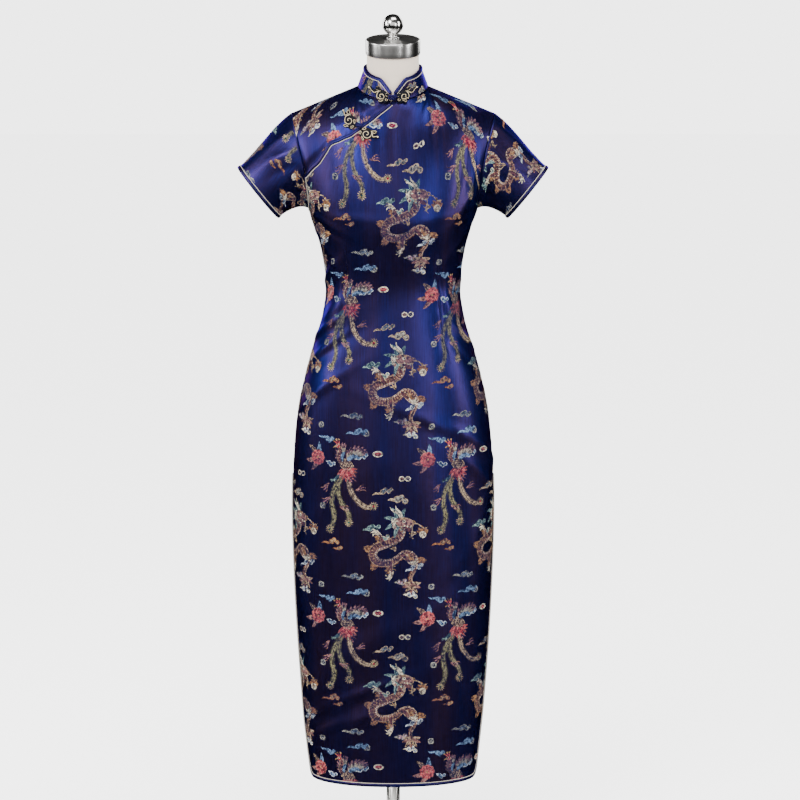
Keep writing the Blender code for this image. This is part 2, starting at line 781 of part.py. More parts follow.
def make_frog_half(name, surface, seat):
    """Plate of one half, and the gold cord coiled on its round that runs out along its tail."""
    outer = frog_grid(surface, seat + FROG_PLATE)
    inner = frog_grid(surface, seat)
    wall(name + "_plate", outer, inner, finish("black_backing", (0.008, 0.008, 0.014), 0.6))
    first, last = FROG_SPIRAL
    path = []
    for i in range(FROG_STEPS + 1):
        share = i / FROG_STEPS
        angle = QUARTER - 2 * math.pi * FROG_TURNS * (1 - share)
        radius = first + (last - first) * share
        path.append((FROG_EYE[0] + radius * math.cos(angle), FROG_EYE[1] + radius * math.sin(angle)))
    path += [(along, across) for along, across, half in FROG_SHAPE[6:-1]]
    out = TRIM_GAP + FROG_CORD
    tube(name + "_cord", [on_plate(outer, inner, a, c, out) for a, c in path], FROG_CORD, gold_cord())


def make_knot(name, surface, size):
    """Oblong knot that lies over the inner ends of a frog's halves."""
    start = surface(0.0, 0.0, 0.0)
    ahead = (surface(0.002, 0.0, 0.0) - start).normalized()
    out = (surface(0.0, 0.0, 0.001) - start).normalized()
    length, width, height = KNOT_SIZE
    frame = Matrix((ahead * length * size, out.cross(ahead) * width * size, out * height)).transposed()
    mesh = bmesh.new()
    bmesh.ops.create_uvsphere(mesh, u_segments=12, v_segments=8, radius=1.0)
    for vert in mesh.verts:
        vert.co = start + out * KNOT_OUT + frame @ vert.co
    add_solid(name, mesh, satin())


def make_frogs():
    collar_right, chest_lower = neck_surface(1), chest_surface(CHEST_FROG_LOWER)
    make_frog_half("collar_frog_left", neck_surface(-1), FROG_OUT)
    make_frog_half("collar_frog_right", collar_right, FROG_OUT)
    make_frog_half("chest_frog_upper", chest_surface(CHEST_FROG_UPPER, on_under=True), UNDER_FROG_OUT)
    make_frog_half("chest_frog_lower", chest_lower, FROG_OUT)
    make_knot("collar_knot", collar_right, 1.0)
    make_knot("chest_knot", chest_lower, CHEST_FROG_SIZE)


def form_gap(turn, level):
    """How far the form lies below the dress: least on the shoulders, which carry it."""
    near_top = ease((level - TOP + 0.06) / 0.06)
    on_shoulder = ease((abs(turn) - NECK_TURN + 0.05) / 0.15)
    return FORM_GAP + (FORM_SHOULDER_GAP - FORM_GAP) * near_top * on_shoulder


def form_point(turn, level, side):
    return plain_point(turn, level, side) - normal(turn, level, side) * form_gap(turn, level)


def make_form():
    """Torso of the dress form with its neck, closed at the arms, the hips and the neck's top."""
    mesh = bmesh.new()
    turns = [-1.0, -0.90, -0.77, -0.62, -0.48, -0.38, -NECK_TURN, -0.15, 0.0]
    turns += [-t for t in reversed(turns[:-1])]
    low = [FORM_BOTTOM + HIP_ROUND, 0.770, 0.840, 0.905, 0.965, 1.020, 1.060, 1.100, 1.145, 1.190, ARMPIT]
    levels = low + [ARMPIT + CHEST_RISE * i / 8 for i in range(1, 9)]
    grids = {}
    for side in (FRONT, BACK):
        grids[side] = []
        for level in levels:
            row = []
            for i, turn in enumerate(turns):
                shared = (abs(turn) == 1.0 and level <= ARMPIT) or (level >= TOP - 1e-9 and abs(turn) >= NECK_TURN)
                if side == BACK and shared:
                    row.append(grids[FRONT][len(grids[BACK])][i])
                else:
                    row.append(mesh.verts.new(form_point(turn, level, side)))
            grids[side].append(row)
        grid_faces(mesh, grids[side])
    close_hips(mesh, grids)
    for end in (0, -1):
        close_arm(mesh, grids, end, len(low) - 1)
    make_neck(mesh, grids, turns)
    add_solid("form_torso", mesh, cream_jersey())


def close_rings(mesh, rings, centre):
    """Faces between closed rings of vertices, and a fan to a last vertex."""
    grid_faces(mesh, rings, wrap=True)
    tip = mesh.verts.new(centre)
    last = rings[-1]
    for i, vert in enumerate(last):
        mesh.faces.new((vert, last[(i + 1) % len(last)], tip))


def close_hips(mesh, grids):
    """Flat underside of the torso with a rounded edge."""
    ring = grids[FRONT][0] + grids[BACK][0][-2:0:-1]
    centre = Vector((0, SECTIONS[0][4], FORM_BOTTOM))
    edge = []
    for vert in ring:
        inward = Vector((vert.co.x * 0.93, centre.y + (vert.co.y - centre.y) * 0.90, FORM_BOTTOM))
        edge.append(mesh.verts.new(inward))
    close_rings(mesh, [ring, edge], centre)


def close_arm(mesh, grids, end, armpit_row):
    """Slightly domed plate in an armhole."""
    front = [row[end] for row in grids[FRONT][armpit_row:]]
    back = [row[end] for row in grids[BACK][armpit_row:]]
    ring = front + back[-2:0:-1]
    centre = sum((vert.co for vert in ring), Vector()) / len(ring)
    out = Vector((-1.0 if end == 0 else 1.0, 0, 0))
    rings = [ring]
    for share, push in ((0.80, 0.004), (0.45, 0.007)):
        rings.append([mesh.verts.new(centre.lerp(vert.co, share) + out * push) for vert in ring])
    close_rings(mesh, rings, centre + out * 0.008)


def neck_frame(share):
    """Centre and tilt of the neck, from the neckline to its top."""
    foot = Vector((0, SHOULDER_Y, NECK_FOOT))
    return foot.lerp(Vector((0, *NECK_TOP)), share), NECK_TILT * share


def make_neck(mesh, grids, turns):
    """Neck from the neckline up to a flat, tilted top."""
    inner = [i for i, turn in enumerate(turns) if abs(turn) <= NECK_TURN]
    ring = [grids[FRONT][-1][i] for i in inner] + [grids[BACK][-1][i] for i in reversed(inner[1:-1])]
    rings = [ring]
    for share in (0.30, 0.60, 1.0):
        centre, tilt = neck_frame(share)
        row = []
        for vert in ring:
            angle = math.atan2(vert.co.y - SHOULDER_Y, vert.co.x)
            x, y = NECK_RADIUS * math.cos(angle), NECK_RADIUS * math.sin(angle)
            row.append(mesh.verts.new(centre + Vector((x, y * math.cos(tilt), y * math.sin(tilt)))))
        rings.append(row)
    close_rings(mesh, rings, neck_frame(1.0)[0])


def place_on_neck(solid):
    centre, tilt = neck_frame(1.0)
    solid.location = centre
    solid.rotation_euler = (tilt, 0, 0)


def make_cap():
    """Metal cap of the neck, a shallow drum with a rounded rim."""
    rim = 0.004
    side = CAP_HEIGHT - rim
    profile = [(0.0, SEAM_GAP), (CAP_RADIUS, SEAM_GAP)]
    for i in range(4):
        angle = QUARTER * i / 3
        profile.append((CAP_RADIUS - rim + rim * math.cos(angle), side + rim * math.sin(angle)))
    profile.append((0.0, CAP_HEIGHT + CAP_DOME))
    place_on_neck(lathe("neck_cap", profile, steel(), steps=32))


def make_finial():
    """Turned ball on a short stem, screwed into the cap."""
    foot = CAP_HEIGHT + CAP_DOME + SEAM_GAP
    middle = CAP_HEIGHT + BALL_RISE
    low = math.asin(-0.93)
    profile = [(0.0, foot), (0.0105, foot), (0.0105, foot + 0.0018), (0.0062, foot + 0.0030)]
    for i in range(10):
        angle = low + (QUARTER - low) * i / 9
        profile.append((max(BALL_RADIUS * math.cos(angle), 0.0), middle + BALL_RADIUS * math.sin(angle)))
    profile[-1] = (0.0, profile[-1][1])
    place_on_neck(lathe("ball_finial", profile, steel(), steps=20))


def make_stand():
    """Pole under the torso, in the hub of a round weighted base."""
    edge = 0.006
    profile = [(0.0, 0.0), (BASE_RADIUS, 0.0)]
    for i in range(4):
        angle = QUARTER * i / 3
        profile.append((BASE_RADIUS - edge + edge * math.cos(angle), BASE_HEIGHT - edge + edge * math.sin(angle)))
    profile += [(HUB_RADIUS, BASE_HEIGHT + 0.002), (HUB_RADIUS * 0.75, HUB_HEIGHT), (0.0, HUB_HEIGHT)]
    lathe("base", profile, steel(), steps=40)
    foot, top = HUB_HEIGHT + SEAM_GAP, FORM_BOTTOM - SEAM_GAP
    lathe("pole", [(0.0, foot), (POLE_RADIUS, foot), (POLE_RADIUS, top), (0.0, top)], steel(), steps=24)


def main():
    clear_scene()
    front = make_front_panel()
    bind_panel("front", front, FRONT)
    bind_opening(front)
    bind_panel("back", make_back_panel(), BACK)
    make_under_panel()
    for name, hand in (("sleeve_left", -1), ("sleeve_right", 1)):
        bind_sleeve(name, make_sleeve(name, hand), hand)
    bind_collar(make_collar())
    make_frogs()
    make_form()
    make_cap()
    make_finial()
    make_stand()


main()
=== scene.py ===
"""A long fitted cheongsam in navy brocade, worn by a limbless dress form on a round base."""
import math

import bmesh
import bpy
import numpy as np
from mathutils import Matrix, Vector


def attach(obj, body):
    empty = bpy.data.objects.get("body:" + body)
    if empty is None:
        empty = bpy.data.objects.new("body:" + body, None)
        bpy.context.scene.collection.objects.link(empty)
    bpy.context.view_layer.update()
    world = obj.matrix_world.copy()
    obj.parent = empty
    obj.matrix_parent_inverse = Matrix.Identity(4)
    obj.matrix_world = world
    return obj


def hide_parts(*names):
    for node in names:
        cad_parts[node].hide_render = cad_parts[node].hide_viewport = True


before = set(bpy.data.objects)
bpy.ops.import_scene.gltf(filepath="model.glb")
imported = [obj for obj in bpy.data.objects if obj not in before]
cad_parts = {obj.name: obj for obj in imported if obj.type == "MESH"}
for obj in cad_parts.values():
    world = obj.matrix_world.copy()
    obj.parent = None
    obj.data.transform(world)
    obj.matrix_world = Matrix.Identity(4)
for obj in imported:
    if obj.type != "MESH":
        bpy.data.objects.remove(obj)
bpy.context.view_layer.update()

# ---------------------------------------------------------------------------------------------
# Front panel. One length of navy satin brocade, shaped by two fish-eye darts, sewn to the back at
# the sides down to the slits and to the sleeves, collar and left shoulder. Its upper right edge is
# the lapped opening.

# A place on a panel is a turn (-1 to 1 from side seam to side seam) and a level (the height up to
# the armpit, and the share of the chest's rise above it).
FRONT, BACK = -1, 1
QUARTER = math.pi / 2
WALL, SEAM_GAP = 0.0016, 0.0003
HEM, CORNER, SLIT_TOP, ARMPIT, CHEST_RISE = 0.165, 0.024, 0.740, 1.228, 0.200
TOP = ARMPIT + CHEST_RISE
NECK_TURN, NECK_HALF, SHOULDER_HALF, SHOULDER_Y = 0.30, 0.0635, 0.184, 0.004
SHOULDER_HEIGHT, NECK_HEIGHT = 1.401, 1.450
NECK_FRONT, NECK_BACK = (-0.063, 1.425), (0.066, 1.457)
ARM_SLOPE, ARM_RISE, ARM_SPREAD = 0.205, 0.110, 0.045
SOFT_TURN, SOFT_RISE, SOFT_SIDE = 0.09, 0.06, 0.2
SLIT_DRAW, CORNER_REACH, CORNER_BLEND = 0.045, 0.15, 0.05
TURN_WIDTH, CREASE_BOW, CREASE_FADE = 0.16, 2.0, 0.08
PANEL_COLUMNS, LOW_ROWS, HIGH_ROWS = 109, 260, 52
BODY = np.array([
    # height, half width, front depth, back depth, squareness
    (0.140, 0.1530, 0.0840, 0.0860, 2.20),
    (0.200, 0.1590, 0.0870, 0.0900, 2.20),
    (0.300, 0.1690, 0.0920, 0.0970, 2.20),
    (0.450, 0.1790, 0.0990, 0.1060, 2.20),
    (0.600, 0.1850, 0.1050, 0.1160, 2.15),
    (0.690, 0.1860, 0.1080, 0.1210, 2.10),
    (0.780, 0.1830, 0.1100, 0.1230, 2.10),
    (0.870, 0.1735, 0.1090, 0.1190, 2.10),
    (0.930, 0.1600, 0.1060, 0.1110, 2.15),
    (0.970, 0.1490, 0.1030, 0.1040, 2.15),
    (1.030, 0.1305, 0.0980, 0.0920, 2.20),
    (1.090, 0.1225, 0.0970, 0.0850, 2.20),
    (1.150, 0.1295, 0.1090, 0.0890, 2.20),
    (1.195, 0.1410, 0.1190, 0.0950, 2.25),
    (1.228, 0.1515, 0.1195, 0.0990, 2.30),
    (1.260, 0.1580, 0.1170, 0.1020, 2.30),
])
CHEST_BEND = {
    # turn, end back, end up
    FRONT: [(0, 0.060, 0.150), (0.15, 0.140, 0.110), (0.30, 0.270, 0.070),
            (0.65, 0.245, 0.050), (1, 0.200, 0.130)],
    BACK: [(0, 0.130, 0.130), (0.15, 0.200, 0.100), (0.30, 0.300, 0.070),
           (0.65, 0.240, 0.050), (1, 0.200, 0.130)],
}
CREASES = [
    # folds at the waist, armpits, bust and hem, and the dips of the front darts
    # side, turn, height, half length, half width, lean, depth: ridges stand out, negative ones sink in
    (FRONT, -0.66, 1.045, 0.055, 0.016, 0.85, 0.0040),
    (FRONT, -0.50, 0.985, 0.070, 0.018, 0.75, -0.0030),
    (FRONT, 0.62, 1.050, 0.050, 0.016, -0.80, 0.0030),
    (FRONT, -0.45, 0.360, 0.130, 0.024, 0.55, 0.0045),
    (FRONT, 0.40, 0.520, 0.160, 0.026, 0.15, 0.0030),
    (FRONT, -0.80, 1.110, 0.055, 0.008, 0.95, 0.0032),
    (FRONT, -0.78, 1.080, 0.055, 0.007, 0.90, -0.0024),
    (FRONT, -0.78, 1.010, 0.055, 0.007, 1.00, 0.0030),
    (FRONT, -0.68, 0.975, 0.055, 0.008, 0.85, 0.0028),
    (FRONT, -0.82, 1.185, 0.050, 0.008, -0.60, 0.0030),
    (FRONT, -0.70, 1.215, 0.050, 0.007, -1.10, 0.0020),
    (FRONT, -0.60, 1.195, 0.050, 0.006, -1.05, -0.0014),
    (FRONT, 0.80, 1.205, 0.055, 0.009, 0.55, 0.0026),
    (FRONT, 0.70, 1.275, 0.055, 0.008, 0.30, 0.0026),
    (FRONT, 0.62, 1.300, 0.060, 0.009, 0.22, -0.0018),
    (FRONT, 0.82, 1.120, 0.050, 0.008, -0.70, 0.0028),
    (FRONT, 0.76, 1.000, 0.055, 0.008, -0.85, 0.0028),
    (FRONT, 0.66, 0.960, 0.060, 0.008, -0.60, -0.0012),
    (FRONT, 0.30, 1.218, 0.030, 0.010, 1.50, 0.0012),
    (FRONT, -0.25, 1.216, 0.060, 0.010, 1.62, 0.0012),
    (FRONT, -0.46, 1.075, 0.080, 0.006, 0.02, -0.0022),
    (FRONT, 0.46, 1.065, 0.085, 0.006, -0.02, -0.0022),
    (FRONT, -0.30, 0.270, 0.090, 0.014, 0.60, 0.0026),
    (FRONT, 0.55, 0.300, 0.110, 0.018, -0.30, 0.0022),
    (FRONT, -0.34, 0.330, 0.070, 0.009, 0.95, 0.0030),
    (FRONT, -0.22, 0.295, 0.060, 0.008, 1.05, 0.0024),
    (FRONT, -0.52, 0.270, 0.060, 0.008, 0.85, 0.0026),
    (FRONT, 0.84, 0.780, 0.050, 0.009, -0.80, 0.0030),
    (FRONT, 0.74, 0.735, 0.060, 0.009, -0.70, 0.0024),
    (FRONT, -0.60, 0.900, 0.070, 0.010, 0.75, 0.0026),
    (FRONT, 0.25, 0.850, 0.080, 0.011, -0.95, 0.0020),
    (FRONT, -0.62, 0.560, 0.140, 0.016, 0.06, 0.0020),
    (FRONT, 0.70, 0.700, 0.100, 0.014, 0.20, 0.0018),
    (BACK, 0.55, 1.045, 0.055, 0.016, 0.85, 0.0035),
    (BACK, -0.60, 1.020, 0.060, 0.017, -0.80, 0.0035),
    (BACK, 0.30, 0.420, 0.150, 0.026, 0.35, 0.0040),
    (BACK, -0.40, 0.500, 0.150, 0.026, -0.20, 0.0030),
    (BACK, 0.78, 1.100, 0.050, 0.008, 0.95, 0.0022),
    (BACK, 0.72, 1.000, 0.055, 0.007, 0.80, -0.0016),
    (BACK, -0.76, 1.085, 0.050, 0.008, -0.95, 0.0022),
    (BACK, -0.66, 0.970, 0.050, 0.007, -0.75, -0.0016),
    (BACK, 0.30, 1.075, 0.050, 0.010, 1.45, 0.0022),
    (BACK, -0.20, 1.040, 0.070, 0.010, 1.65, 0.0018),
    (BACK, 0.80, 1.240, 0.060, 0.009, 0.40, 0.0024),
    (BACK, -0.82, 1.230, 0.060, 0.009, -0.45, 0.0022),
    (BACK, 0.15, 0.640, 0.130, 0.014, 0.12, 0.0018),
    (BACK, -0.62, 0.300, 0.110, 0.016, 0.35, 0.0024),
    (BACK, 0.66, 0.280, 0.100, 0.014, -0.25, 0.0020),
]
OPENING = [(-0.152, 1.293), (-0.136, 1.315), (-0.123, 1.333), (-0.113, 1.349), (-0.092, 1.359),
           (-0.070, 1.370), (-0.044, 1.389), (-0.022, 1.407), (0.0, 1.425)]


def ease(value):
    """Smooth step from 0 to 1."""
    value = np.clip(value, 0.0, 1.0)
    return value * value * (3 - 2 * value)


def hermite(start, start_slope, end, end_slope, t):
    """Point at share t of the curve between two ends that leaves and arrives along their slopes."""
    t2, t3 = t * t, t * t * t
    return (start * (2 * t3 - 3 * t2 + 1) + start_slope * (t3 - 2 * t2 + t)
            + end * (3 * t2 - 2 * t3) + end_slope * (t3 - t2))


def read_table(rows, key, column):
    """Smooth value of a table's column at keys of its first column."""
    rows = np.asarray(rows, float)
    keys, values = rows[:, 0], rows[:, column]
    last = len(keys) - 1
    place = np.arange(last + 1)
    after, before = np.minimum(place + 1, last), np.maximum(place - 1, 0)
    slopes = (values[after] - values[before]) / (keys[after] - keys[before])
    key = np.clip(key, keys[0], keys[-1])
    low = np.clip(np.searchsorted(keys, key, side="left") - 1, 0, last - 1)
    span = keys[low + 1] - keys[low]
    share = (key - keys[low]) / span
    return hermite(values[low], slopes[low] * span, values[low + 1], slopes[low + 1] * span, share)


def stack(x, y, z):
    return np.stack(np.broadcast_arrays(x, y, z), axis=-1).astype(float)


def unit(vectors):
    return vectors / np.maximum(np.linalg.norm(vectors, axis=-1, keepdims=True), 1e-12)


def body_ring(turn, height, side):
    """Body's level outline below the armpit, a squared oval."""
    half, front, back, power = (read_table(BODY, height, c) for c in range(1, 5))
    across = np.sin(turn * QUARTER)
    bulge = np.maximum(1 - np.abs(across) ** power, 0.0) ** (1 / power)
    return stack(half * across, SHOULDER_Y + side * (front if side == FRONT else back) * bulge, height)


def body_top(turn, side):
    """Where a column ends: on the neckline or on the shoulder seam."""
    middle_y, middle_z = NECK_FRONT if side == FRONT else NECK_BACK
    angle = np.clip(turn / NECK_TURN, -1, 1) * QUARTER
    share = np.cos(angle)
    neck = stack(NECK_HALF * np.sin(angle), SHOULDER_Y + (middle_y - SHOULDER_Y) * share,
                 NECK_HEIGHT + (middle_z - NECK_HEIGHT) * share)
    along = (np.abs(turn) - NECK_TURN) / (1 - NECK_TURN)
    x = NECK_HALF + (SHOULDER_HALF - NECK_HALF) * along
    z = NECK_HEIGHT + (SHOULDER_HEIGHT - NECK_HEIGHT) * along
    shoulder = stack(np.copysign(x, turn), SHOULDER_Y, z)
    return np.where((np.abs(turn) <= NECK_TURN)[..., None], neck, shoulder)


def body_raw(turn, level, side):
    """Dress surface before its creases."""
    turn, level = np.broadcast_arrays(np.asarray(turn, float), np.asarray(level, float))
    low = body_ring(turn, np.minimum(level, ARMPIT), side)
    start, step = body_ring(turn, np.full_like(level, ARMPIT), side), 0.004
    slope = (start - body_ring(turn, np.full_like(level, ARMPIT - step), side)) * (CHEST_RISE / step)
    near_arm = ease((np.abs(turn) - 0.6) / 0.4)
    arm_slope = stack(0 * turn, side * ARM_SLOPE, ARM_RISE + 0 * turn)
    slope = slope + (arm_slope - slope) * near_arm[..., None]
    bend = CHEST_BEND[side]
    end_slope = stack(np.copysign(ARM_SPREAD * near_arm, turn), -side * read_table(bend, np.abs(turn), 1),
                      read_table(bend, np.abs(turn), 2))
    share = np.maximum((level - ARMPIT) / CHEST_RISE, 0.0)[..., None]
    high = hermite(start, slope, body_top(turn, side), end_slope, share)
    return np.where((level <= ARMPIT)[..., None], low, high)


def body_plain(turn, level, side):
    """Body without creases, softened across the chest between the neck's corners and the bust."""
    soft = SOFT_TURN * ease((level - ARMPIT) / SOFT_RISE) * ease((TOP - level) / SOFT_RISE)
    soft = soft * ease((1 - np.abs(turn)) / SOFT_SIDE)
    near = body_raw(turn - soft, level, side) + body_raw(turn + soft, level, side)
    return body_raw(turn, level, side) * 0.4 + near * 0.3


def body_normal(turn, level, side):
    """Direction out of the cloth, level along the side seams and the shoulders."""
    turn, level = np.broadcast_arrays(np.asarray(turn, float), np.asarray(level, float))
    step, nearly = 0.002, 1e-6
    a, b = np.maximum(turn - step, -1), np.minimum(turn + step, 1)
    c, d = np.maximum(level - step, BODY[0, 0]), np.minimum(level + step, TOP)
    by_turn = body_plain(b, level, side) - body_plain(a, level, side)
    by_level = body_plain(turn, d, side) - body_plain(turn, c, side)
    out = np.cross(by_turn, by_level) * -side
    on_side = (np.abs(turn) > 0.9999) & (level <= ARMPIT)
    on_shoulder = (level > TOP - nearly) & (np.abs(turn) > NECK_TURN - nearly)
    out[..., 1] = np.where(on_side | on_shoulder, 0.0, out[..., 1])
    return unit(out)


def crease_height(turn, level, side):
    """How far the folds lift a place, each one a soft ridge that bows a little."""
    total = np.zeros(np.broadcast(turn, level).shape)
    for crease_side, crease_turn, height, length, width, lean, depth in CREASES:
        if crease_side == side:
            x, z = (turn - crease_turn) * TURN_WIDTH, level - height
            bend = x + (z * z - length * length / 2) * CREASE_BOW * math.copysign(1, crease_turn)
            along = bend * math.sin(lean) + z * math.cos(lean)
            across = bend * math.cos(lean) - z * math.sin(lean)
            total += depth * np.exp(-(along / length) ** 2 - (across / width) ** 2)
    return total * ease((1 - np.abs(turn)) / CREASE_FADE)


def body_point(turn, level, side, out=0.0):
    """Point of the creased cloth, moved out by a distance."""
    point = body_plain(turn, level, side)
    point[..., 1] += side * SEAM_GAP / 2
    return point + body_normal(turn, level, side) * (out + crease_height(turn, level, side))[..., None]


def find_place(x, z, side=FRONT):
    """Turns and levels of the places that show at x and z from the front."""
    x, z = np.broadcast_arrays(np.asarray(x, float), np.asarray(z, float))
    turn, level, step = x / 0.17, np.minimum(z, TOP - 0.01), 0.001
    for _ in range(30):
        here = body_plain(turn, level, side)
        by_turn = (body_plain(turn + step, level, side) - here) / step
        by_level = (here - body_plain(turn, level - step, side)) / step
        miss_x, miss_z = x - here[..., 0], z - here[..., 2]
        scale = by_turn[..., 0] * by_level[..., 2] - by_level[..., 0] * by_turn[..., 2]
        turn = turn + (miss_x * by_level[..., 2] - by_level[..., 0] * miss_z) / scale
        level = level + (by_turn[..., 0] * miss_z - miss_x * by_turn[..., 2]) / scale
        turn, level = np.clip(turn, -0.999, 0.999), np.clip(level, ARMPIT - 0.1, TOP)
    return turn, level


opening_places = [tuple(map(float, find_place(x, z))) for x, z in OPENING]
opening_places[0] = (-1.0, ARMPIT + CHEST_RISE * 0.4)
opening_places[-1] = (0.0, TOP)


def opening_level(turn):
    """Level of the lapped edge."""
    return np.minimum(read_table(opening_places, turn, 1), TOP)


def slit_turn(level):
    """Turn of a panel's side edge, drawn back below the slit's top."""
    return 1 - SLIT_DRAW * ease((SLIT_TOP - level) / (SLIT_TOP - HEM))


def hem_rise(turn):
    """How far the rounded corner at the slit lifts the hem."""
    short = np.maximum(CORNER - (slit_turn(HEM) - np.abs(turn)) * CORNER_REACH, 0.0)
    return CORNER - np.sqrt(np.maximum(CORNER ** 2 - short ** 2, 0.0))


def panel_places(shares, low_rows, high_rows, top_level):
    """Turns and levels of a panel's grid, from its rounded hem up to its top edge."""
    heights = np.linspace(HEM, ARMPIT, low_rows)
    share, height = np.meshgrid(shares, heights)
    turn = share * slit_turn(height)
    rise = hem_rise(share * slit_turn(HEM))
    level = height + rise * np.maximum(1 - (height - HEM) / CORNER_BLEND, 0.0)
    up = np.linspace(0, 1, high_rows + 1)[1:, None]
    high_turn = np.broadcast_to(shares, (high_rows, len(shares)))
    high_level = ARMPIT + (top_level(shares) - ARMPIT) * up
    return np.vstack([turn, high_turn]), np.vstack([level, high_level])


def grid_faces(rows, columns, start, wrap=False, flip=False):
    """Four-sided faces of a grid of points, joined round its columns where it wraps."""
    j, i = np.meshgrid(np.arange(rows - 1), np.arange(columns if wrap else columns - 1), indexing="ij")
    k = (i + 1) % columns
    quads = np.stack([j * columns + i, j * columns + k, (j + 1) * columns + k, (j + 1) * columns + i], -1)
    quads = quads.reshape(-1, 4) + start
    return quads[:, ::-1] if flip else quads


def make_mesh(name, points, faces, material, uv=None):
    """Smooth mesh object from arrays, riding on the dress; uv holds one pair a vertex."""
    mesh = bpy.data.meshes.new(name)
    mesh.from_pydata(points.tolist(), [], [face for part in faces for face in part.tolist()])
    mesh.polygons.foreach_set("use_smooth", np.ones(len(mesh.polygons), bool))
    if uv is not None:
        layer = mesh.uv_layers.new(name="Cloth")
        corner = np.zeros(len(mesh.loops), int)
        mesh.loops.foreach_get("vertex_index", corner)
        layer.data.foreach_set("uv", uv[corner].astype(np.float32).ravel())
    mesh.materials.append(material)
    mesh.update()
    piece = bpy.data.objects.new(name, mesh)
    bpy.context.scene.collection.objects.link(piece)
    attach(piece, "root")
    return piece


def cloth_wall(name, outer, inner, material, flip, wrap=False):
    """Thin closed cloth between two grids of points; its UV is in metres along the cloth."""
    rows, columns = outer.shape[:2]
    count = rows * columns
    faces = [grid_faces(rows, columns, 0, wrap, flip), grid_faces(rows, columns, count, wrap, not flip)]
    ring = np.arange(columns)
    edges = [(ring, flip), (ring + (rows - 1) * columns, not flip)]
    side = np.arange(rows) * columns
    if not wrap:
        edges += [(side, not flip), (side + columns - 1, flip)]
    for edge, turned in edges:
        a, b = (edge, np.roll(edge, -1)) if wrap else (edge[:-1], edge[1:])
        quads = np.stack([a, a + count, b + count, b], -1)
        faces.append(quads[:, ::-1] if turned else quads)
    across = np.linalg.norm(np.diff(outer, axis=1), axis=-1).cumsum(axis=1)
    across = np.hstack([np.zeros((rows, 1)), across])
    along = np.linalg.norm(np.diff(outer[:, columns // 2], axis=0), axis=-1).cumsum()
    along = np.concatenate([[0.0], along])[:, None] + np.zeros((1, columns))
    uv = np.stack([across - across.mean(axis=1, keepdims=True), along], -1).reshape(-1, 2)
    points = np.vstack([outer.reshape(-1, 3), inner.reshape(-1, 3)])
    return make_mesh(name, points, faces, material, np.vstack([uv, uv]))


def new_material(name):
    """Empty node material, with its nodes, links and main shader."""
    material = bpy.data.materials.new(name)
    material.use_nodes = True
    nodes, links = material.node_tree.nodes, material.node_tree.links
    return material, nodes, links, nodes["Principled BSDF"]


def add_node(nodes, kind, **values):
    """Node whose sockets and settings are given by name."""
    node = nodes.new(kind)
    for key, value in values.items():
        if key in node.inputs:
            node.inputs[key].default_value = value
        else:
            setattr(node, key, value)
    return node


def colour_ramp(nodes, dark, light, start=0.0, end=1.0):
    """Ramp from one colour to another between two places."""
    ramp = add_node(nodes, "ShaderNodeValToRGB")
    for stop, place, colour in zip(ramp.color_ramp.elements, (start, end), (dark, light)):
        stop.position = place
        stop.color = (*colour, 1)
    return ramp


def change_range(nodes, low=0.0, high=1.0, start=0.0, end=1.0):
    """Values from start to end spread over low to high."""
    node = add_node(nodes, "ShaderNodeMapRange")
    for socket, value in (("From Min", start), ("From Max", end), ("To Min", low), ("To Max", high)):
        node.inputs[socket].default_value = value
    return node


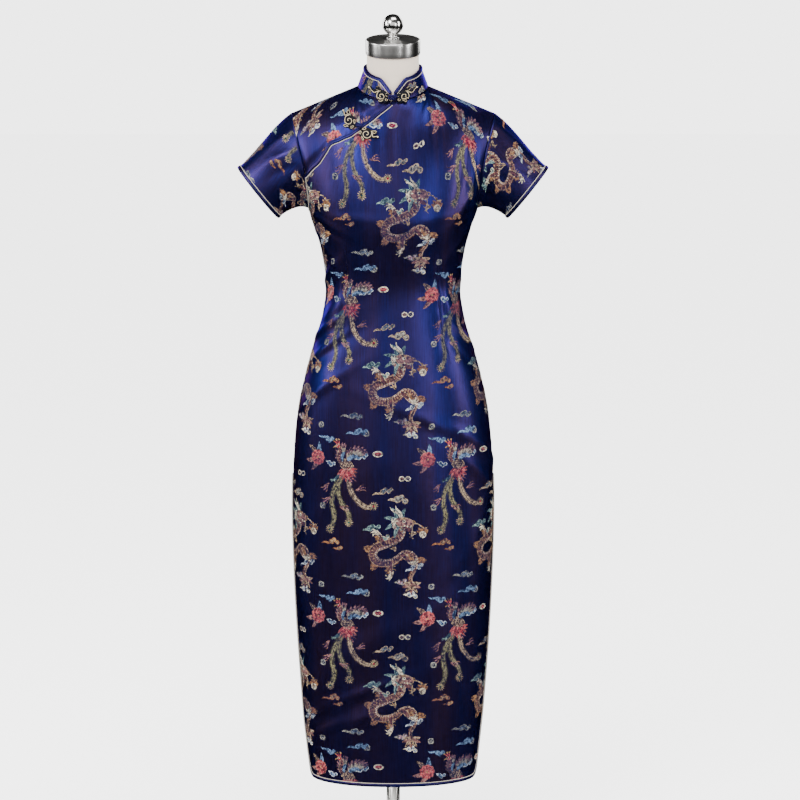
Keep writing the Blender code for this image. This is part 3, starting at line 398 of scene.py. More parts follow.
def satin(name, dark, light, shine):
    """Warp satin: a dark navy ground that flashes blue along its threads, over a purple-brown weft."""
    material, nodes, links, warp = new_material(name)
    place = add_node(nodes, "ShaderNodeUVMap", uv_map="Cloth")
    streaks = add_node(nodes, "ShaderNodeMapping")
    streaks.inputs["Scale"].default_value = (900, 18, 1)
    noise = add_node(nodes, "ShaderNodeTexNoise", Scale=1.0, Detail=3.0, Roughness=0.6)
    wave = add_node(nodes, "ShaderNodeTexWave", Scale=420.0, Distortion=0.6, bands_direction="Y")
    wave.inputs["Detail"].default_value = 1.0
    ramp = colour_ramp(nodes, dark, light, 0.32, 0.70)
    rough = change_range(nodes, shine - 0.03, shine + 0.05)
    low = add_node(nodes, "ShaderNodeBump", Strength=0.25, Distance=0.0002)
    high = add_node(nodes, "ShaderNodeBump", Strength=0.12, Distance=0.0002)
    weft = add_node(nodes, "ShaderNodeBsdfPrincipled")
    tangent = add_node(nodes, "ShaderNodeTangent", direction_type="UV_MAP", uv_map="Cloth")
    mix = add_node(nodes, "ShaderNodeMixShader")
    bands = add_node(nodes, "ShaderNodeMapping")
    bands.inputs["Scale"].default_value = (17, 1.3, 1)
    drift = add_node(nodes, "ShaderNodeTexNoise", Scale=1.0, Detail=2.0)
    share = change_range(nodes, 0.12, 0.38, 0.36, 0.66)
    warp.inputs["Metallic"].default_value = 0.93
    warp.inputs["Specular Tint"].default_value = (0.25, 0.38, 1.0, 1)
    warp.inputs["Specular IOR Level"].default_value = 0.25
    warp.inputs["Anisotropic"].default_value = 0.45
    weft.inputs["Metallic"].default_value = 1.0
    weft.inputs["Base Color"].default_value = (0.076, 0.033, 0.038, 1)
    weft.inputs["Specular Tint"].default_value = (0.62, 0.38, 0.44, 1)
    weft.inputs["Roughness"].default_value = 0.36
    weft.inputs["Anisotropic"].default_value = 0.60
    weft.inputs["Anisotropic Rotation"].default_value = 0.25
    for source, target in [
        (place.outputs[0], streaks.inputs[0]), (streaks.outputs[0], noise.inputs["Vector"]),
        (place.outputs[0], wave.inputs["Vector"]),
        (noise.outputs["Fac"], ramp.inputs[0]), (ramp.outputs[0], warp.inputs["Base Color"]),
        (noise.outputs["Fac"], rough.inputs[0]), (rough.outputs[0], warp.inputs["Roughness"]),
        (noise.outputs["Fac"], low.inputs["Height"]), (wave.outputs["Fac"], high.inputs["Height"]),
        (low.outputs[0], high.inputs["Normal"]), (high.outputs[0], warp.inputs["Normal"]),
        (high.outputs[0], weft.inputs["Normal"]), (tangent.outputs[0], warp.inputs["Tangent"]),
        (tangent.outputs[0], weft.inputs["Tangent"]), (warp.outputs[0], mix.inputs[1]),
        (weft.outputs[0], mix.inputs[2]), (place.outputs[0], bands.inputs[0]),
        (bands.outputs[0], drift.inputs["Vector"]), (drift.outputs["Fac"], share.inputs[0]),
        (share.outputs[0], mix.inputs[0]),
        (mix.outputs[0], nodes["Material Output"].inputs[0]),
    ]:
        links.new(source, target)
    return material


brocade = satin("navy satin", (0.0035, 0.0080, 0.068), (0.006, 0.015, 0.135), 0.31)
panel_shares = np.linspace(-1, 1, PANEL_COLUMNS)


def front_top(turn):
    """Top edge of the front: the opening's on the right, the neck and shoulder on the left."""
    return np.where(turn >= 0, TOP, opening_level(turn))


front_turn, front_level = panel_places(panel_shares, LOW_ROWS, HIGH_ROWS, front_top)
front_outer = body_point(front_turn, front_level, FRONT)
front_normal = body_normal(front_turn, front_level, FRONT)
front = cloth_wall("front_shell", front_outer, front_outer - front_normal * WALL, brocade, False)
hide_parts("front_panel")

# ---------------------------------------------------------------------------------------------
# Back panel. The same brocade from the hem to the neck and both shoulders, in one piece, sewn to
# the front at the sides above the slits.
def whole_top(turn):
    """Top edge of a panel that ends at the neck and both shoulders."""
    return TOP + 0 * turn


back_turn, back_level = panel_places(panel_shares, LOW_ROWS, HIGH_ROWS, whole_top)
back_outer = body_point(back_turn, back_level, BACK)
back_normal = body_normal(back_turn, back_level, BACK)
back = cloth_wall("back_shell", back_outer, back_outer - back_normal * WALL, brocade, True)
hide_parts("back_panel")

# ---------------------------------------------------------------------------------------------
# Under panel. The wearer's right chest and shoulder: it carries on under the lapped edge, and is
# sewn into the same armhole, shoulder and collar.
LAP, LAP_START, LAP_WIDTH = 0.0026, 0.004, 0.018
UNDER_END, UNDER_ARM, UNDER_DEEP = -0.012, 0.004, 0.012
under_turns = -1 + (1 + UNDER_END) * np.linspace(0, 1, 61)
under_low = opening_level(under_turns) - UNDER_ARM - UNDER_DEEP * ease((under_turns + 1) / 0.08)
under_level = under_low + (TOP - under_low) * np.linspace(0, 1, 49)[:, None]
under_turn = np.broadcast_to(under_turns, under_level.shape)


def under_out(turn, level):
    """How far the under panel sinks where the front laps over it."""
    return -LAP * (1 - ease((level - opening_level(turn) - LAP_START) / LAP_WIDTH))


under_outer = body_point(under_turn, under_level, FRONT, under_out(under_turn, under_level))
under_normal = body_normal(under_turn, under_level, FRONT)
under = cloth_wall("under_shell", under_outer, under_outer - under_normal * WALL, brocade, False)
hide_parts("under_panel")

# ---------------------------------------------------------------------------------------------
# Sleeves. Short set-in sleeves of the brocade, eased into the armholes, that hang empty and open
# at their bound hems. Around runs 0 to 1 from the armpit over the front, shoulder and back.
SLEEVE_TOP, SLEEVE_BOTTOM, SLEEVE_DEPTH = (0.281, 1.303), (0.209, 1.213), 0.037
SLEEVE_COLUMNS, SLEEVE_ROWS = 120, 45
SLEEVE_CREASES = [
    # hand, around, along, half around, half along, shift of around along the crease, depth
    (-1, 0.17, 0.30, 0.030, 0.34, 0.05, 0.0032),
    (-1, 0.25, 0.34, 0.024, 0.36, 0.05, -0.0022),
    (-1, 0.32, 0.30, 0.026, 0.34, 0.06, 0.0026),
    (-1, 0.41, 0.20, 0.022, 0.24, 0.02, 0.0018),
    (-1, 0.09, 0.55, 0.026, 0.30, 0.04, -0.0020),
    (-1, 0.62, 0.35, 0.030, 0.34, -0.05, 0.0028),
    (-1, 0.72, 0.30, 0.026, 0.34, -0.05, -0.0020),
    (-1, 0.82, 0.34, 0.028, 0.34, -0.04, 0.0026),
    (1, 0.13, 0.34, 0.028, 0.36, 0.06, 0.0034),
    (1, 0.21, 0.28, 0.022, 0.34, 0.05, -0.0022),
    (1, 0.29, 0.38, 0.026, 0.38, 0.05, 0.0028),
    (1, 0.37, 0.26, 0.022, 0.28, 0.03, -0.0016),
    (1, 0.44, 0.18, 0.020, 0.22, 0.01, 0.0016),
    (1, 0.60, 0.30, 0.028, 0.32, -0.04, 0.0026),
    (1, 0.70, 0.34, 0.026, 0.34, -0.06, -0.0020),
    (1, 0.80, 0.30, 0.028, 0.34, -0.04, 0.0028),
]


def armhole_place(around, hand):
    """Point and outward direction of the armhole's edge."""
    around = np.asarray(around, float) % 1.0
    share = np.where(around <= 0.5, 2 * around, 2 - 2 * around)
    level, ahead = ARMPIT + CHEST_RISE * share, (around <= 0.5)[..., None]
    turn = np.full_like(level, float(hand))
    point = np.where(ahead, body_plain(turn, level, FRONT), body_plain(turn, level, BACK))
    return point, np.where(ahead, body_normal(turn, level, FRONT), body_normal(turn, level, BACK))


def sleeve_point(around, along, hand, out=0.0):
    """Point of the creased sleeve; along runs 0 to 1 from the armhole to the hem."""
    around, along = np.broadcast_arrays(np.asarray(around, float), np.asarray(along, float))
    start, start_normal = armhole_place(around, hand)
    ahead = armhole_place(around + 0.01, hand)[0] - armhole_place(around - 0.01, hand)[0]
    start = start + unit(np.cross(ahead, start_normal)) * hand * SEAM_GAP
    angle = 2 * math.pi * around
    top = np.array([hand * SLEEVE_TOP[0], 0, SLEEVE_TOP[1]])
    bottom = np.array([hand * SLEEVE_BOTTOM[0], 0, SLEEVE_BOTTOM[1]])
    middle, reach = (top + bottom) / 2, (top - bottom) / 2
    level, depth = np.cos(angle)[..., None], np.sin(angle)[..., None]
    forward = np.array([0, -1.0, 0])
    end_normal = unit(-level * unit(reach) + depth * forward)
    end = middle - reach * level + depth * forward * SLEEVE_DEPTH
    axis = unit(np.array([hand * abs(reach[2]), 0, -abs(reach[0])]))
    length = np.linalg.norm(end - start, axis=-1, keepdims=True)
    high = (1 - np.cos(angle)) / 2
    leave = unit(stack(hand + 0 * high, 0 * high, 0.75 * (1 - high) - 0.70 * high))
    point = hermite(start, leave * length, end, axis * length, along[..., None])
    outward = unit(start_normal + (end_normal - start_normal) * ease(along)[..., None])
    rise = np.zeros(around.shape)
    for crease_hand, middle_around, middle_along, wide, long, shift, height in SLEEVE_CREASES:
        if crease_hand == hand:
            away = (around - middle_around - shift * (along - middle_along) + 0.5) % 1.0 - 0.5
            rise += height * np.exp(-(away / wide) ** 2 - ((along - middle_along) / long) ** 2)
    rise = rise * ease(along / 0.15) * ease((1 - along) / 0.25)
    return point + outward * (out + rise)[..., None]


sleeves = {}
sleeve_rounds = np.arange(SLEEVE_COLUMNS)
for hand, name in ((-1, "sleeve_left"), (1, "sleeve_right")):
    around, along = np.meshgrid(sleeve_rounds / SLEEVE_COLUMNS, np.linspace(0, 1, SLEEVE_ROWS))
    outer, inner = sleeve_point(around, along, hand), sleeve_point(around, along, hand, -WALL)
    sleeve = cloth_wall(name + "_shell", outer, inner, brocade, hand == 1, wrap=True)
    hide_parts(name)
    sleeves[hand] = outer, inner, sleeve

# ---------------------------------------------------------------------------------------------
# Stand collar. A stiffened band of the brocade round the neckline, with rounded front corners that
# meet over the throat.
COLLAR_FRONT, COLLAR_RISE, COLLAR_CORNER, COLLAR_LEAN = 0.011, 0.025, 0.030, 0.368
COLLAR_GAP, COLLAR_COLUMNS, COLLAR_ROWS = 0.002, 161, 14


def neckline(angle):
    """Point of the neck seam at an angle round it from the centre front."""
    angle = (np.asarray(angle, float) + math.pi) % (2 * math.pi) - math.pi
    front = np.abs(angle) <= QUARTER
    turn = np.where(front, angle, np.copysign(math.pi - np.abs(angle), angle)) / QUARTER * NECK_TURN
    return np.where(front[..., None], body_top(turn, FRONT), body_top(turn, BACK))


def collar_height(arc):
    """Height of the collar at a distance round from its front end, which is rounded."""
    return COLLAR_FRONT + COLLAR_RISE * (1 - (1 - np.minimum(arc / COLLAR_CORNER, 1.0)) ** 1.5)


def collar_point(angle, share, out=0.0):
    """Angle round the neck from the centre front, and share 0 to 1 up the collar."""
    base = neckline(angle) + np.array([0, 0, SEAM_GAP])
    arc = np.abs((angle + math.pi) % (2 * math.pi) - math.pi) * NECK_HALF
    height = collar_height(arc) * share
    away = unit(base * np.array([1, 1, 0]) - np.array([0, SHOULDER_Y, 0]))
    return base + stack(0, 0, height) + away * (out - COLLAR_LEAN * height)[..., None]


even = np.linspace(-1, 1, COLLAR_COLUMNS)
collar_angle = math.pi + (even + np.sin(even * QUARTER)) / 2 * (math.pi - COLLAR_GAP / NECK_HALF)
collar_angle, collar_share = np.meshgrid(collar_angle, np.linspace(0, 1, COLLAR_ROWS))
collar_outer = collar_point(collar_angle, collar_share)
collar_inner = collar_point(collar_angle, collar_share, -WALL)
collar = cloth_wall("collar_shell", collar_outer, collar_inner, brocade, False)
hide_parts("collar")

# ---------------------------------------------------------------------------------------------
# Dress form. A limbless torso of hard foam under a stretched cream jersey cover, whole and smooth,
# whose shoulders carry the dress; its neck leans a little and ends flat under the cap.
FORM_GAP, SHOULDER_EASE = 0.0058, 0.0037
FORM_BOTTOM, FORM_ROUND = 0.690, 0.014
FORM_SIDE, FORM_NECK, SIDE_TURNS, NECK_TURNS = 0.985, 0.32, 34, 33
NECK_RADIUS, NECK_FOOT, NECK_RISE, NECK_LEAN = 0.0468, 1.440, 0.0665, math.radians(13)
NECK_TOP = (0, 0, NECK_FOOT + NECK_RISE)
HIP_ROUNDS = [
    # share of the lowest ring's size, drop below it
    (0.985, 0.004), (0.955, 0.009), (0.91, 0.0125),
    (0.85, FORM_ROUND), (0.45, FORM_ROUND), (0.02, FORM_ROUND),
]


def jersey():
    """Stretched knit cover, cream and matt."""
    material, nodes, links, shader = new_material("cream jersey")
    place = add_node(nodes, "ShaderNodeTexCoord")
    knit = add_node(nodes, "ShaderNodeTexWave", Scale=330.0, Distortion=1.2, bands_direction="X")
    rows = add_node(nodes, "ShaderNodeTexWave", Scale=260.0, Distortion=0.8, bands_direction="Z")
    cloud = add_node(nodes, "ShaderNodeTexNoise", Scale=7.0, Detail=2.0)
    ramp = colour_ramp(nodes, (0.320, 0.268, 0.218), (0.380, 0.323, 0.266))
    both = add_node(nodes, "ShaderNodeMath", operation="MULTIPLY")
    bump = add_node(nodes, "ShaderNodeBump", Strength=0.18, Distance=0.0003)
    shader.inputs["Roughness"].default_value = 0.85
    shader.inputs["Sheen Weight"].default_value = 0.15
    for source, target in [
        (place.outputs["Object"], knit.inputs["Vector"]), (place.outputs["Object"], rows.inputs["Vector"]),
        (place.outputs["Object"], cloud.inputs["Vector"]), (cloud.outputs["Fac"], ramp.inputs[0]),
        (ramp.outputs[0], shader.inputs["Base Color"]), (knit.outputs["Fac"], both.inputs[0]),
        (rows.outputs["Fac"], both.inputs[1]), (both.outputs[0], bump.inputs["Height"]),
        (bump.outputs[0], shader.inputs["Normal"]),
    ]:
        links.new(source, target)
    return material


def form_surface(turn, level, side):
    """Form under the cloth, nearer to it on the shoulders."""
    near_top = ease((level - TOP + 0.06) / 0.06)
    on_shoulder = ease((np.abs(turn) - NECK_TURN + 0.05) / 0.15)
    gap = FORM_GAP - SHOULDER_EASE * near_top * on_shoulder
    return body_plain(turn, level, side) - body_normal(turn, level, side) * gap[..., None]


form_levels = np.concatenate([np.linspace(FORM_BOTTOM + FORM_ROUND, ARMPIT, 70),
                              np.linspace(ARMPIT, TOP, 30)[1:]])
form_turns = np.concatenate([np.linspace(-FORM_SIDE, -FORM_NECK, SIDE_TURNS),
                             np.linspace(-NECK_TURN, NECK_TURN, NECK_TURNS),
                             np.linspace(FORM_NECK, FORM_SIDE, SIDE_TURNS)])
turn, level = np.meshgrid(form_turns, form_levels)
form_front, form_back = form_surface(turn, level, FRONT), form_surface(turn, level, BACK)[:, ::-1]
bridges = []
for first, last, hand in ((form_front[:, -1], form_back[:, 0], 1), (form_back[:, -1], form_front[:, 0], -1)):
    side_turn = np.full(len(form_levels), float(hand))
    seam = form_surface(side_turn, form_levels, FRONT) + form_surface(side_turn, form_levels, BACK)
    seam = seam / 2
    open_arm = np.sin(np.clip((form_levels - ARMPIT) / CHEST_RISE, 0, 1) * math.pi)
    seam[:, 0] += hand * 0.007 * open_arm
    t = np.linspace(0, 1, 9)[None, 1:-1, None]
    middle = seam * 2 - (first + last) / 2
    bridges.append(first[:, None] * (1 - t) ** 2 + middle[:, None] * 2 * t * (1 - t) + last[:, None] * t ** 2)
form_rings = np.concatenate([form_front, bridges[0], form_back, bridges[1]], axis=1)
ring_size = form_rings.shape[1]
hips = [form_rings]
for share, drop in HIP_ROUNDS:
    ring = form_rings[:1] * np.array([share, share, 1]) + np.array([0, SHOULDER_Y * (1 - share), -drop])
    hips.insert(0, ring)
form_rings = np.concatenate(hips, axis=0)
neck_turns = slice(SIDE_TURNS, SIDE_TURNS + NECK_TURNS)
neck_ring = np.concatenate([form_front[-1, neck_turns], form_back[-1, neck_turns][1:-1]])
neck_angle = np.arctan2(neck_ring[:, 1] - SHOULDER_Y, neck_ring[:, 0])
neck_rows = []
for share in np.linspace(0, 1, 25):
    tilt = NECK_LEAN * share
    centre = np.array([0, SHOULDER_Y * (1 - share), NECK_FOOT + NECK_RISE * share])
    across, deep = np.cos(neck_angle), np.sin(neck_angle)
    circle = centre + stack(across, deep * math.cos(tilt), deep * math.sin(tilt)) * NECK_RADIUS
    neck_rows.append(neck_ring + (circle - neck_ring) * ease(share / 0.45))
centre = np.array(NECK_TOP)
neck_rows += [centre + (neck_rows[-1] - centre) * share for share in (0.5, 0.02)]
neck_rows = np.stack(neck_rows)
form_points = np.vstack([form_rings.reshape(-1, 3), neck_rows.reshape(-1, 3)])
form_faces = [grid_faces(len(form_rings), ring_size, 0, wrap=True),
              grid_faces(len(neck_rows), neck_rows.shape[1], form_rings.shape[0] * ring_size, wrap=True)]
form = make_mesh("form", form_points, form_faces, jersey())
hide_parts("form_torso")

# ---------------------------------------------------------------------------------------------
# Neck cap and finial. A shallow drum of brushed steel closes the form's neck, and a polished ball
# on a short turned stem is screwed into it as the handle.
CAP_RADIUS, CAP_HEIGHT, CAP_EDGE = 0.0492, 0.0270, 0.0028
BALL_RADIUS, BALL_HEIGHT = 0.0187, 0.0530
AXIS = 0.0001


def steel(name, colour, roughness, brush):
    """Bare steel, brushed in rings round its axis where brush is above 0."""
    material, nodes, links, shader = new_material(name)
    place = add_node(nodes, "ShaderNodeTexCoord")
    lines = add_node(nodes, "ShaderNodeMapping")
    lines.inputs["Scale"].default_value = (3, 3, 420)
    grain = add_node(nodes, "ShaderNodeTexNoise", Scale=1.0, Detail=4.0)
    smudge = add_node(nodes, "ShaderNodeTexNoise", Scale=20.0, Detail=2.0)
    rough = change_range(nodes, roughness * 0.9, roughness * 1.1)
    ramp = colour_ramp(nodes, [c * 0.94 for c in colour], colour)
    bump = add_node(nodes, "ShaderNodeBump", Strength=brush, Distance=0.00002)
    shader.inputs["Metallic"].default_value = 1.0
    shader.inputs["Anisotropic"].default_value = 0.65 if brush else 0.0
    shader.inputs["Anisotropic Rotation"].default_value = 0.25
    for source, target in [
        (place.outputs["Object"], lines.inputs[0]), (lines.outputs[0], grain.inputs["Vector"]),
        (place.outputs["Object"], smudge.inputs["Vector"]), (smudge.outputs["Fac"], rough.inputs[0]),
        (rough.outputs[0], shader.inputs["Roughness"]), (grain.outputs["Fac"], ramp.inputs[0]),
        (ramp.outputs[0], shader.inputs["Base Color"]), (grain.outputs["Fac"], bump.inputs["Height"]),
        (bump.outputs[0], shader.inputs["Normal"]),
    ]:
        links.new(source, target)
    return material


def turned(name, profile, material, node, slot_name, steps=96, centre=(0, 0, 0), tilt=0.0):
    """Turned piece from (radius, height) points, leaned about X at its foot."""
    profile = np.array(profile, float)
    angle = np.arange(steps) / steps * 2 * math.pi
    x = profile[:, :1] * np.cos(angle)
    y = profile[:, :1] * np.sin(angle)
    z = profile[:, 1:] + 0 * angle
    lean, upright = math.sin(tilt), math.cos(tilt)
    points = stack(x, y * upright - z * lean, y * lean + z * upright).reshape(-1, 3) + np.array(centre)
    piece = make_mesh(name, points, [grid_faces(len(profile), steps, 0, wrap=True)], material)
    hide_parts(node)


def rounded(radius, height, edge, steps=6):
    """Profile points of a rounded outer corner, up and then in."""
    angles = np.linspace(0, QUARTER, steps)
    return [(radius - edge + edge * math.cos(a), height - edge + edge * math.sin(a)) for a in angles]


brushed = steel("brushed steel", (0.70, 0.69, 0.67), 0.32, 0.04)
polished = steel("polished steel", (0.78, 0.77, 0.75), 0.19, 0.0)
cap_profile = [
    (AXIS, 0.0004), (0.0478, 0.0004), (0.0488, 0.0010),
    (CAP_RADIUS, 0.0022), (CAP_RADIUS, 0.010), (CAP_RADIUS, 0.018),
    *rounded(CAP_RADIUS, CAP_HEIGHT, CAP_EDGE),
    (0.040, 0.0272), (0.020, 0.0276), (AXIS, 0.0278),
]
stem_profile = [
    (AXIS, 0.0281), (0.0104, 0.0281), (0.0106, 0.0286), (0.0104, 0.0296),
    (0.0084, 0.0304), (0.0066, 0.0316), (0.0062, 0.0334),
]
ball_profile = [(BALL_RADIUS * math.cos(a), BALL_HEIGHT + BALL_RADIUS * math.sin(a))
                for a in np.linspace(-1.19, 1.565, 40)]
turned("cap", cap_profile, brushed, "neck_cap", "brushed_steel", centre=NECK_TOP, tilt=NECK_LEAN)
turned("finial", stem_profile + ball_profile, polished, "ball_finial", "polished_steel",
       centre=NECK_TOP, tilt=NECK_LEAN)

# ---------------------------------------------------------------------------------------------
# Stand. A polished steel pole from the torso's underside stands in the hub of a round base of
# brushed steel, whose own weight holds it down.
POLE_RADIUS, POLE_FOOT, POLE_TOP = 0.0125, 0.0343, 0.6897
BASE_RADIUS, BASE_RIM, HUB_TOP = 0.170, 0.014, 0.0340
pole_profile = [
    (AXIS, POLE_FOOT), (POLE_RADIUS, POLE_FOOT), (POLE_RADIUS, 0.20),
    (POLE_RADIUS, 0.45), (POLE_RADIUS, POLE_TOP), (AXIS, POLE_TOP),
]
base_profile = [
    (AXIS, 0.0), (0.168, 0.0), (BASE_RADIUS, 0.002), (BASE_RADIUS, 0.006),
    *rounded(BASE_RADIUS, BASE_RIM, 0.006),
    (0.120, 0.0146), (0.060, 0.0152), (0.034, 0.0156), (0.0300, 0.0172),
    (0.0270, 0.0240), (0.0240, 0.0320), (0.0225, HUB_TOP), (AXIS, HUB_TOP),
]
turned("stand_pole", pole_profile, polished, "pole", "polished_steel", steps=48)
turned("stand_base", base_profile, brushed, "base", "brushed_steel", steps=128)

# ---------------------------------------------------------------------------------------------
# Bindings. Bias strips of plain navy satin folded over the raw edges and stitched down, with a thin
# pale cord caught in the seam just inside each: both panels below the slits, the lapped opening,
# the sleeve hems and the collar's top.
BINDING_WIDTH, BINDING_HEIGHT = 0.0058, 0.0019
PIPING_PLACE, PIPING_RADIUS = 0.0070, 0.00054
EDGE_STEPS = 12


def grid_surface(outer, inner, wrap=False):
    """Outer face of a cloth wall, as a function of column, row and distance out of it."""
    rows, columns = outer.shape[:2]
    normal = unit(outer - inner)

    def surface(column, row, out=0.0):
        column = column % columns if wrap else np.clip(column, 0, columns - 1.000001)
        row = np.clip(row, 0, rows - 1.000001)
        i, j = np.floor(column).astype(int), np.floor(row).astype(int)
        after = (i + 1) % columns
        x, y = (column - i)[..., None], (row - j)[..., None]

        def between(grid):
            low = grid[j, i] * (1 - x) + grid[j, after] * x
            return low * (1 - y) + (grid[j + 1, i] * (1 - x) + grid[j + 1, after] * x) * y

        return between(outer) + unit(between(normal)) * out

    surface.middle = (0.0 if wrap else (columns - 1) / 2, (rows - 1) / 2)
    return surface


def nudge(surface, a, b, move):
    """Columns and rows moved so that their points move by about the given vectors."""
    here = surface(a, b)
    step_a = np.where(a < surface.middle[0], 0.02, -0.02)
    step_b = np.where(b < surface.middle[1], 0.02, -0.02)
    by_a = (surface(a + step_a, b) - here) / step_a[:, None]
    by_b = (surface(a, b + step_b) - here) / step_b[:, None]
    aa, ab, bb = (by_a * by_a).sum(-1), (by_a * by_b).sum(-1), (by_b * by_b).sum(-1)
    to_a, to_b = (by_a * move).sum(-1), (by_b * move).sum(-1)
    scale = np.maximum(aa * bb - ab * ab, 1e-18)
    return a + (to_a * bb - to_b * ab) / scale, b + (to_b * aa - to_a * ab) / scale


def edge_lines(surface, places, inward, profile, closed):
    """Lines along an edge: a profile holds each line's width in from it and height off the cloth."""
    column, row = places
    start = surface(column, row)
    ahead = np.roll(start, -1, 0) - np.roll(start, 1, 0) if closed else np.gradient(start, axis=0)
    left = unit(np.cross(surface(column, row, 0.001) - start, ahead)) * inward
    lines = []
    for width, height in profile:
        a, b = column, row
        for step in range(1, EDGE_STEPS + 1):
            goal = start + left * max(width, 0.0) * step / EDGE_STEPS
            a, b = nudge(surface, a, b, goal - surface(a, b))
        lines.append(surface(a, b, height) + left * min(width, 0.0))
    return np.stack(lines, 1)


def closed_band(name, lines, material, closed=False):
    """Closed solid from rings of points, capped where its ends are free."""
    count, around = lines.shape[:2]
    faces = [grid_faces(count + closed, around, 0, wrap=True) % (count * around)]
    if not closed:
        faces += [np.arange(around)[None, ::-1], np.arange(around)[None] + (count - 1) * around]
    along = np.linalg.norm(np.diff(lines[:, 0], axis=0), axis=-1).cumsum()
    along = np.concatenate([[0.0], along])[:, None] + np.zeros((1, around))
    across = np.linalg.norm(np.diff(lines[0], axis=0), axis=-1).cumsum()
    across = np.concatenate([[0.0], across])[None] + np.zeros((count, 1))
    uv = np.stack([across + along, along - across], -1).reshape(-1, 2) * math.sqrt(0.5)
    piece = make_mesh(name, lines.reshape(-1, 3), faces, material, uv)
    work = bmesh.new()
    work.from_mesh(piece.data)
    bmesh.ops.recalc_face_normals(work, faces=work.faces[:])
    work.to_mesh(piece.data)
    work.free()
    return piece


def cord_material(name, dark, light, twist):
    """Twisted cord: slanted strands with a painted highlight along each and painted shade between them."""
    material, nodes, links, shader = new_material(name)
    place = add_node(nodes, "ShaderNodeUVMap", uv_map="Cloth")
    strands = add_node(nodes, "ShaderNodeTexWave", Scale=twist, Distortion=0.4, bands_direction="X")
    dye = add_node(nodes, "ShaderNodeTexNoise", Scale=180.0, Detail=3.0)
    # painted highlight and shade: the strand pattern runs the colour from the dark painted shade between
    # strands to the light painted highlight along them
    ramp = colour_ramp(nodes, dark, light, 0.15, 0.70)
    blend = add_node(nodes, "ShaderNodeMath", operation="MULTIPLY")
    bump = add_node(nodes, "ShaderNodeBump", Strength=0.7, Distance=0.0003)
    shader.inputs["Roughness"].default_value = 0.40
    shader.inputs["Sheen Weight"].default_value = 0.15
    for source, target in [
        (place.outputs[0], strands.inputs["Vector"]), (place.outputs[0], dye.inputs["Vector"]),
        (strands.outputs["Fac"], ramp.inputs[0]), (ramp.outputs[0], shader.inputs["Base Color"]),
        (strands.outputs["Fac"], blend.inputs[0]), (dye.outputs["Fac"], blend.inputs[1]),
        (blend.outputs[0], bump.inputs["Height"]), (bump.outputs[0], shader.inputs["Normal"]),
    ]:
        links.new(source, target)
    return material


binding_satin = satin("binding satin", (0.004, 0.009, 0.070), (0.007, 0.016, 0.120), 0.36)
# cord colours: the dark one is painted shade between the strands, the light one a painted highlight on them
pale_cord = cord_material("pale cord", (0.14, 0.12, 0.09), (0.35, 0.31, 0.25), 260.0)
FOLDED = [
    # width in from the edge, height off the cloth, over the edge and round its back
    (BINDING_WIDTH, 0.0002), (0.0057, 0.0011), (0.0048, 0.0017), (0.0030, BINDING_HEIGHT), (0.0012, 0.0017),
    (0.0002, 0.0010), (-0.0003, 0.0), (-0.0003, -0.0012), (0.0004, -0.0022), (0.0018, -0.0025),
    (0.0040, -0.0024), (0.0044, -0.0018), (0.0030, -0.0008),
]
LAPPED = [
    # the same, flatter behind, where it lies on the under panel
    (BINDING_WIDTH, 0.0002), (0.0057, 0.0012), (0.0048, 0.0018), (0.0030, BINDING_HEIGHT), (0.0012, 0.0018),
    (0.0001, 0.0013), (-0.0001, 0.0006), (0.0002, -0.0002), (0.0020, -0.0003),
]
CORD_SIDES = 8
CORD_RING = [(PIPING_PLACE + PIPING_RADIUS * math.cos(2 * math.pi * k / CORD_SIDES),
              PIPING_RADIUS * (0.85 + math.sin(2 * math.pi * k / CORD_SIDES))) for k in range(CORD_SIDES)]


def bind(name, surface, places, inward, profile=FOLDED, closed=False):
    """Binding and piping that stand for the two nodes of an edge."""
    places = [np.array(values, float) for values in places]
    made = []
    for kind, ring, material, finish in (("binding", profile, binding_satin, "navy_binding"),
                                         ("piping", CORD_RING, pale_cord, "pale_piping")):
        lines = edge_lines(surface, places, inward, ring, closed)
        piece = closed_band(name + "_" + kind + "_edge", lines, material, closed)
        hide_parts(name + "_" + kind)
        made.append(piece)
    return made


SLIT_ROW = int(round((SLIT_TOP - HEM) / (ARMPIT - HEM) * (LOW_ROWS - 1)))
TOP_ROW = LOW_ROWS + HIGH_ROWS - 1
side_rows, last = np.arange(SLIT_ROW, 0, -2), PANEL_COLUMNS - 1
hem_columns = np.concatenate([np.arange(0, 6, 0.25), np.arange(6, last - 6, 1),
                              np.arange(last - 6, last + 0.01, 0.25)])
edge_places = (np.concatenate([0 * side_rows, hem_columns, 0 * side_rows + last]),
               np.concatenate([side_rows, 0 * hem_columns, side_rows[::-1]]))
front_surface = grid_surface(front_outer, front_outer - front_normal * WALL)
back_surface = grid_surface(back_outer, back_outer - back_normal * WALL)
front_edges = bind("front", front_surface, edge_places, 1)
back_edges = bind("back", back_surface, edge_places, -1)

armhole_rows = np.arange(LOW_ROWS + 1.6, TOP_ROW - 1, 2.4)
lap_columns = np.arange(0.7, last / 2 - 0.4, 0.7)
lap_places = (np.concatenate([0 * armhole_rows, [0.0], lap_columns]),
              np.concatenate([armhole_rows, [float(TOP_ROW)], TOP_ROW + 0 * lap_columns]))
opening_edges = bind("opening", front_surface, lap_places, -1, LAPPED)

for hand, name in ((-1, "sleeve_left"), (1, "sleeve_right")):
    surface = grid_surface(*sleeves[hand][:2], wrap=True)
    hem_places = (sleeve_rounds, SLEEVE_ROWS - 1.0 + 0 * sleeve_rounds)
    bind(name, surface, hem_places, hand, closed=True)

collar_surface = grid_surface(collar_outer, collar_inner)
collar_columns = np.arange(0, COLLAR_COLUMNS - 0.99, 0.8)
collar_places = (collar_columns, COLLAR_ROWS - 1.0 + 0 * collar_columns)
collar_edges = bind("collar", collar_surface, collar_places, -1)

